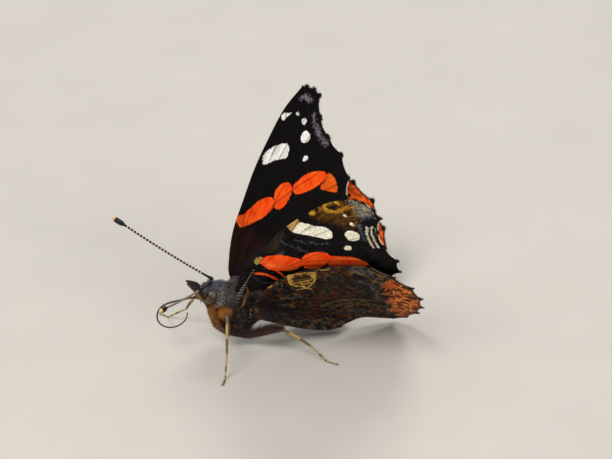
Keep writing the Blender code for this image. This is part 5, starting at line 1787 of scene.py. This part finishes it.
@dataclass
class Leg:
    """One walking leg from hip to claws."""

    name: str
    hip: tuple
    hip_end: tuple
    coxa: tuple
    knee: tuple
    ankle: tuple
    toe: tuple
    side: int
    foot_length: float = 1.7
    toe_height: float = 0.13
    thigh_hair: float = 0.30
    thigh_tufts: int = 800

    def build(self, scaled: bpy.types.Material, banded: bpy.types.Material, coat: bpy.types.Material) -> None:
        """Make hip, thigh, shin and foot, with spines and claws.

        Args:
            scaled: Finish of hip and thigh.
            banded: Finish of shin and foot.
            coat: Finish of the scales that stand off them.
        """
        coxa, knee, ankle = (np.array(p) for p in (self.coxa, self.knee, self.ankle))
        hip = from_body(np.array((self.hip, self.hip_end)) * (self.side, 1, 1))
        toe = np.array((self.toe[0], self.toe[1], SHIFT[2] + self.toe_height))
        flat = (toe - ankle) * (1, 1, 0)
        flat = flat / np.linalg.norm(flat)
        heel = toe - flat * self.foot_length
        self.rod("hip", hip[0] + (hip[0] - hip[1]) * 0.3, (hip[1] * 0.6 + coxa * 0.4),
                 (0.30, 0.42, 0.44, 0.38, 0.26), scaled, coat, self.thigh_tufts, self.thigh_hair, "thigh")
        self.rod("thigh", hip[1] * 0.35 + coxa * 0.65, knee, (0.20, 0.30, 0.36, 0.35, 0.31, 0.26, 0.20), scaled,
                 coat, self.thigh_tufts, self.thigh_hair, "thigh")
        self.rod("shin", knee, ankle, (0.19, 0.20, 0.22, 0.23, 0.21, 0.19, 0.16), banded, coat, 520, 0.20,
                 "shin")
        self.foot(ankle, heel, toe, banded)

    def rod(self, part: str, a: np.ndarray, b: np.ndarray, radii: tuple, finish: bpy.types.Material,
            coat: bpy.types.Material, tufts: int, length: float, slot: str) -> None:
        """A tapered limb part with close-lying scales, and two rows of spines on the shin."""
        t = np.linspace(0, 1, 22)
        bow = np.cross(b - a, (0.0, 0.0, 1.0))
        bow = np.cross(bow, b - a)
        bow = bow / np.linalg.norm(bow) * 0.05 * np.linalg.norm(b - a)
        path = a + (b - a) * t[:, None] + bow * np.sin(math.pi * t)[:, None] * 0.6
        wide = np.interp(t * (len(radii) - 1), np.arange(len(radii)), radii)
        points, faces = sweep_tube(path, wide, 14)
        if part == "shin":
            for k in range(2, 20, 2):
                for row in (-1, 1):
                    out = np.cross(b - a, (0.3, row, 0.4))
                    out = out / np.linalg.norm(out) * row
                    root = path[k] + out * wide[k] * 0.8
                    along = (b - a) / np.linalg.norm(b - a)
                    more, spine = sweep_tube(
                        np.array([root, root + out * 0.14 + along * 0.10, root + out * 0.20 + along * 0.24]),
                        np.array((0.030, 0.020, 0.006)), 5)
                    faces += [tuple(i + len(points) for i in f) for f in spine]
                    points = np.vstack([points, more])
        piece = make_object(f"{part}_{self.name}_scaled", to_metres(points), faces, [finish])
        smooth_faces(piece)
        band = 0.5 + 0.5 * np.sin(np.repeat(t, 14) * 9.0 + 1.0)
        write_attribute(piece.data, "band", np.concatenate([band, np.zeros(len(points) - len(band))]))
        finish_piece(piece, (f"{part}_{self.name}",))
        rng = np.random.default_rng(int(abs(a[1]) * 100) + tufts)
        places, normals = scatter(piece, tufts, tufts + int(abs(b[0]) * 10))
        tint = np.array(hex_colour("#9a7c40" if part == "shin" else "#4a302a")[:3])
        n = len(places)
        lies = np.tile((b - a) / np.linalg.norm(b - a), (n, 1)) + rng.normal(0, 0.15, (n, 3))
        share = np.clip((places - a) @ (b - a) / ((b - a) @ (b - a)), 0, 1)
        round_by = rng.random(n)
        tall = 1.4 * ease(normals[:, 2], 0.1, 0.8) if length > 0.5 else np.zeros(n)
        lies[:, 2] += 0.7 * tall
        Coat(f"coat_{part}_{self.name}", slot, places, normals, lies, length * (1 + tall) * rng.uniform(0.6, 1.3, n),
             np.full(n, 0.060), np.radians(16 if length < 0.5 else 48) * rng.uniform(0.4, 1.8, n),
             tint * rng.uniform(0.6, 1.5, n)[:, None],
             np.stack([0.02 + 0.95 * round_by, 0.02 + 0.95 * share], 1)).build(coat)

    def foot(self, ankle: np.ndarray, heel: np.ndarray, toe: np.ndarray, finish: bpy.types.Material) -> None:
        """The five-jointed foot with its spines and claws."""
        route = smooth_curve([ankle, ankle * 0.66 + heel * 0.34, ankle * 0.3 + heel * 0.7, heel + (0, 0, 0.02),
                              heel * 0.6 + toe * 0.4, toe], 61)
        cuts = (0, 27, 38, 46, 53, 60)
        points, faces, bands = np.zeros((0, 3)), [], []
        for k, (first, last) in enumerate(zip(cuts, cuts[1:])):
            path = route[first:last + 1]
            t = np.linspace(0, 1, len(path))
            wide = 0.115 + 0.045 * t - 0.06 * ease(t, 0.9, 1.0) - 0.008 * k
            path = np.column_stack([path[:, :2], np.maximum(path[:, 2], SHIFT[2] + wide)])
            more, shell = sweep_tube(path, wide, 12)
            faces += [tuple(i + len(points) for i in f) for f in shell]
            points = np.vstack([points, more])
            bands.append(np.concatenate([np.repeat(ease(t, 0.55, 0.8), 12), [0.0, 1.0]]))
            for spot in (0.35, 0.65, 0.95):
                j = int(spot * (len(path) - 1))
                along = path[min(j + 1, len(path) - 1)] - path[max(j - 1, 0)]
                along = along / np.linalg.norm(along)
                out = np.cross(along, (0, 0, 1.0))
                for row in (-1, 1):
                    tip = path[j] + out * row * 0.24 + along * 0.16
                    tip[2] = max(tip[2], SHIFT[2] + 0.03)
                    more, shell = sweep_tube(np.array([path[j] + out * row * 0.08, (path[j] + tip) / 2, tip]),
                                             np.array((0.028, 0.02, 0.006)), 5)
                    faces += [tuple(i + len(points) for i in f) for f in shell]
                    points = np.vstack([points, more])
                    bands.append(np.ones(len(more)))
        ahead = (toe - heel) / np.linalg.norm(toe - heel)
        out = np.cross(ahead, (0, 0, 1.0))
        for row in (-1, 1):
            claw = toe + out * row * 0.05
            hook = np.array([claw, claw + ahead * 0.16 + out * row * 0.10 + (0, 0, 0.04),
                             claw + ahead * 0.28 + out * row * 0.14 + (0, 0, 0.0),
                             claw + ahead * 0.33 + out * row * 0.14 - (0, 0, 0.085)])
            more, shell = sweep_tube(smooth_curve(hook, 10), np.linspace(0.045, 0.008, 10), 8)
            faces += [tuple(i + len(points) for i in f) for f in shell]
            points = np.vstack([points, more])
            bands.append(np.ones(len(more)))
        points[:, 2] = np.maximum(points[:, 2], SHIFT[2])
        foot = make_object(f"foot_{self.name}_clawed", to_metres(points), faces, [finish])
        write_attribute(foot.data, "band", np.concatenate(bands))
        smooth_faces(foot)
        finish_piece(foot, (f"foot_{self.name}",))


LEGS = (
    Leg("mid_left", (1.15, 0.55, -7.20), (1.40, -1.15, -7.75), (1.9, -1.6, -7.9), (5.5, -2.75, -1.9),
        (9.4, -3.75, -7.0), (12.4, -5.1), 1),
    Leg("mid_right", (1.15, 0.55, -7.20), (1.40, -1.15, -7.75), (-2.75, -2.2, -7.75), (-4.9, -5.1, -3.4),
        (-7.5, -6.44, -7.3), (-12.0, -9.75), -1),
    Leg("hind_left", (1.05, -2.50, -7.62), (1.80, -4.66, -7.05), (1.75, 2.1, -8.35), (4.9, 6.1, -6.0),
        (7.5, 10.25, -8.35), (10.56, 13.46), 1, thigh_hair=0.60, thigh_tufts=1900),
    Leg("hind_right", (1.05, -2.50, -7.62), (1.80, -4.66, -7.05), (-2.25, 2.2, -8.15), (-4.8, 5.8, -5.6),
        (-7.6, 9.9, -8.35), (-10.7, 12.9), -1),
)


@dataclass
class Forelegs:
    """The two short brush-like forelegs folded on the chest."""

    path: tuple = ((0.80, -0.30, -7.60), (0.90, 0.75, -6.90), (1.00, 1.70, -5.80), (1.00, 2.40, -4.75))
    tufts: int = 3200

    def build(self, finish: bpy.types.Material, coat: bpy.types.Material) -> None:
        """Make each foreleg and its brush of long hairs."""
        for side, word in SIDES:
            path = smooth_curve(from_body(np.array(self.path) * (side, 1, 1)), 20)
            wide = 0.22 + 0.10 * np.sin(math.pi * np.linspace(0, 1, 20))
            points, faces = sweep_tube(path, wide, 12)
            piece = make_object(f"foreleg_{word}_skin", to_metres(points), faces, [finish])
            smooth_faces(piece)
            write_attribute(piece.data, "band", np.zeros(len(points)))
            finish_piece(piece, (f"foreleg_{word}",))
            rng = np.random.default_rng(71 + side)
            places, normals = scatter(piece, self.tufts, 5 + side)
            n = len(places)
            lies = np.tile(path[-1] - path[0], (n, 1)) + rng.normal(0, 0.4, (n, 3))
            tint = np.array(hex_colour("#a8703a")[:3])
            share = rng.random(n)
            Coat(f"coat_foreleg_{word}", "thigh", places, normals, lies, rng.uniform(0.45, 1.05, n),
                 np.full(n, 0.06), np.radians(46) * rng.uniform(0.4, 1.6, n),
                 tint * rng.uniform(0.6, 1.4, n)[:, None],
                 np.stack([0.02 + 0.95 * share, 0.02 + 0.95 * rng.random(n)], 1)).build(coat)


def scene_camera() -> None:
    """Set the camera at the photograph's viewing angle."""
    data = bpy.data.cameras.new("camera")
    data.sensor_width = 36.0
    data.lens = 189.2
    data.clip_start = 0.01
    data.clip_end = 10.0
    cam = bpy.data.objects.new("camera", data)
    bpy.context.scene.collection.objects.link(cam)
    target = Vector((-3.007, 6.185, 17.981)) * MM
    cam.location = Vector((427.1, -102.2, 248.8)) * MM
    cam.rotation_mode = "QUATERNION"
    cam.rotation_quaternion = (target - cam.location).to_track_quat("-Z", "Y")
    bpy.context.scene.camera = cam


def studio() -> None:
    """Lay a pale floor and hang soft lights round the model."""
    bpy.ops.object.select_all(action="DESELECT")
    bpy.ops.mesh.primitive_plane_add(size=3.0, location=(0, 0, 0))
    floor = bpy.context.object
    floor.name = "floor"
    mat = bpy.data.materials.new("pale_plaster_floor")
    mat.use_nodes = True
    tree = mat.node_tree
    shader = tree.nodes["Principled BSDF"]
    place = add_node(tree, "ShaderNodeTexCoord")
    noise = add_node(tree, "ShaderNodeTexNoise", None,
                     {"Vector": place.outputs["Object"], "Scale": 60.0, "Detail": 5.0})
    colour = add_node(tree, "ShaderNodeMix", {"data_type": "RGBA"},
                      {0: noise.outputs[0], 6: hex_colour("#b6b0a6"), 7: hex_colour("#c0bab0")})
    tree.links.new(colour.outputs[2], shader.inputs["Base Color"])
    shader.inputs["Roughness"].default_value = 0.9
    floor.data.materials.append(mat)
    world = bpy.data.worlds.new("studio")
    world.use_nodes = True
    world.node_tree.nodes["Background"].inputs[0].default_value = hex_colour("#e6e8ec")
    world.node_tree.nodes["Background"].inputs[1].default_value = 0.45
    bpy.context.scene.world = world
    bpy.context.scene.view_settings.view_transform = "Standard"
    for name, place_at, energy, size in (
        ("key", (0.35, -0.45, 0.75), 7.5, 0.45),
        ("fill", (0.60, 0.45, 0.35), 2.6, 0.60),
        ("rim", (-0.55, 0.30, 0.55), 3.2, 0.40),
    ):
        data = bpy.data.lights.new(name, "AREA")
        data.energy = energy
        data.size = size
        lamp = bpy.data.objects.new(name, data)
        lamp.location = place_at
        lamp.rotation_mode = "QUATERNION"
        lamp.rotation_quaternion = (Vector((0, 0, 0.015)) - lamp.location).to_track_quat("-Z", "Y")
        bpy.context.scene.collection.objects.link(lamp)


def main() -> None:
    """Build the butterfly's dressed model."""
    logging.basicConfig(level=logging.INFO, format="%(message)s")
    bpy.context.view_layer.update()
    scene_camera()
    studio()
    finishes = {kind: [finish.build() for finish in pair] for kind, pair in FINISHES.items()}
    fore_root = (2.30, 0.0, 0.0)
    hind_root = (3.46, -2.8, -1.0)
    coat = CoatFinish("insect_hair").build()
    ribbed = ChitinFinish("ribbed_vein_scales", "#141012", "#8e8478", 0.5, 0.12, True).build()
    golden_stripe = ChitinFinish("gold_brown_vein_scales", "#3a2410", "#6c481c", 0.6, 0.25).build()
    for wing in (
        Wing(WingKind.FORE, 1, fore_root, 62.3, -0.1, -7.7, (-0.0013, 0.0165, 0.0119)),
        Wing(WingKind.FORE, -1, fore_root, 60.7, 7.6, -7.7, (0.0004, 0.0103, 0.0063)),
        Wing(WingKind.HIND, 1, hind_root, 59.9, -8.1, -31.8, (-0.0070, 0.0065, 0.0081), CREASE_LEFT, 50.0,
             -1.95, HIND_INNER_LEFT, scallop=0.30, tooth=0.30),
        Wing(WingKind.HIND, -1, hind_root, 57.2, 6.3, -17.2, (-0.0009, 0.0029, 0.0018), CREASE_RIGHT, 24.0,
             -1.3, HIND_INNER_RIGHT, 1.066, 0.11, scallop=0.30, tooth=0.30),
    ):
        wing.build(finishes[wing.kind.value])
        WingHair(wing).build(coat)
        if wing.kind is WingKind.FORE:
            RootStrap().build(wing, ribbed, golden_stripe)
    ShoulderPlates().build(coat)
    # An even factor of 0.9 on the skin adds to the painted shade under the coat
    skin_finish = CoatFinish("insect_skin_under_hair", 0.9, 0.9, 0.6, 0.1).build()
    skin = Skin().build(skin_finish)
    BodyCoat().build(skin, coat)
    Eyes().build(EyeFinish().build())
    Palps().build(skin_finish, coat)
    Antennae().build(ChitinFinish("ringed_antenna_scales", "#141010", "#a89e8c", 0.7, 0.10, True, 0.12).build(),
                     ChitinFinish("antenna_club_scales", "#0c0909", "#c9a878", 0.5, 0.10, True).build())
    Tongue().build(ChitinFinish("tongue_cuticle", "#2c1c16", "#4a3226", 0.34, 0.16).build())
    scaled = ChitinFinish("thigh_scales", "#3e2a20", "#664634", 0.5, 0.12).build()
    golden = ChitinFinish("shin_scales", "#a08448", "#5a4a28", 0.45, 0.12, True).build()
    for leg in LEGS:
        leg.build(scaled, golden, coat)
    Forelegs().build(scaled, coat)


if __name__ == "__main__":
    main()
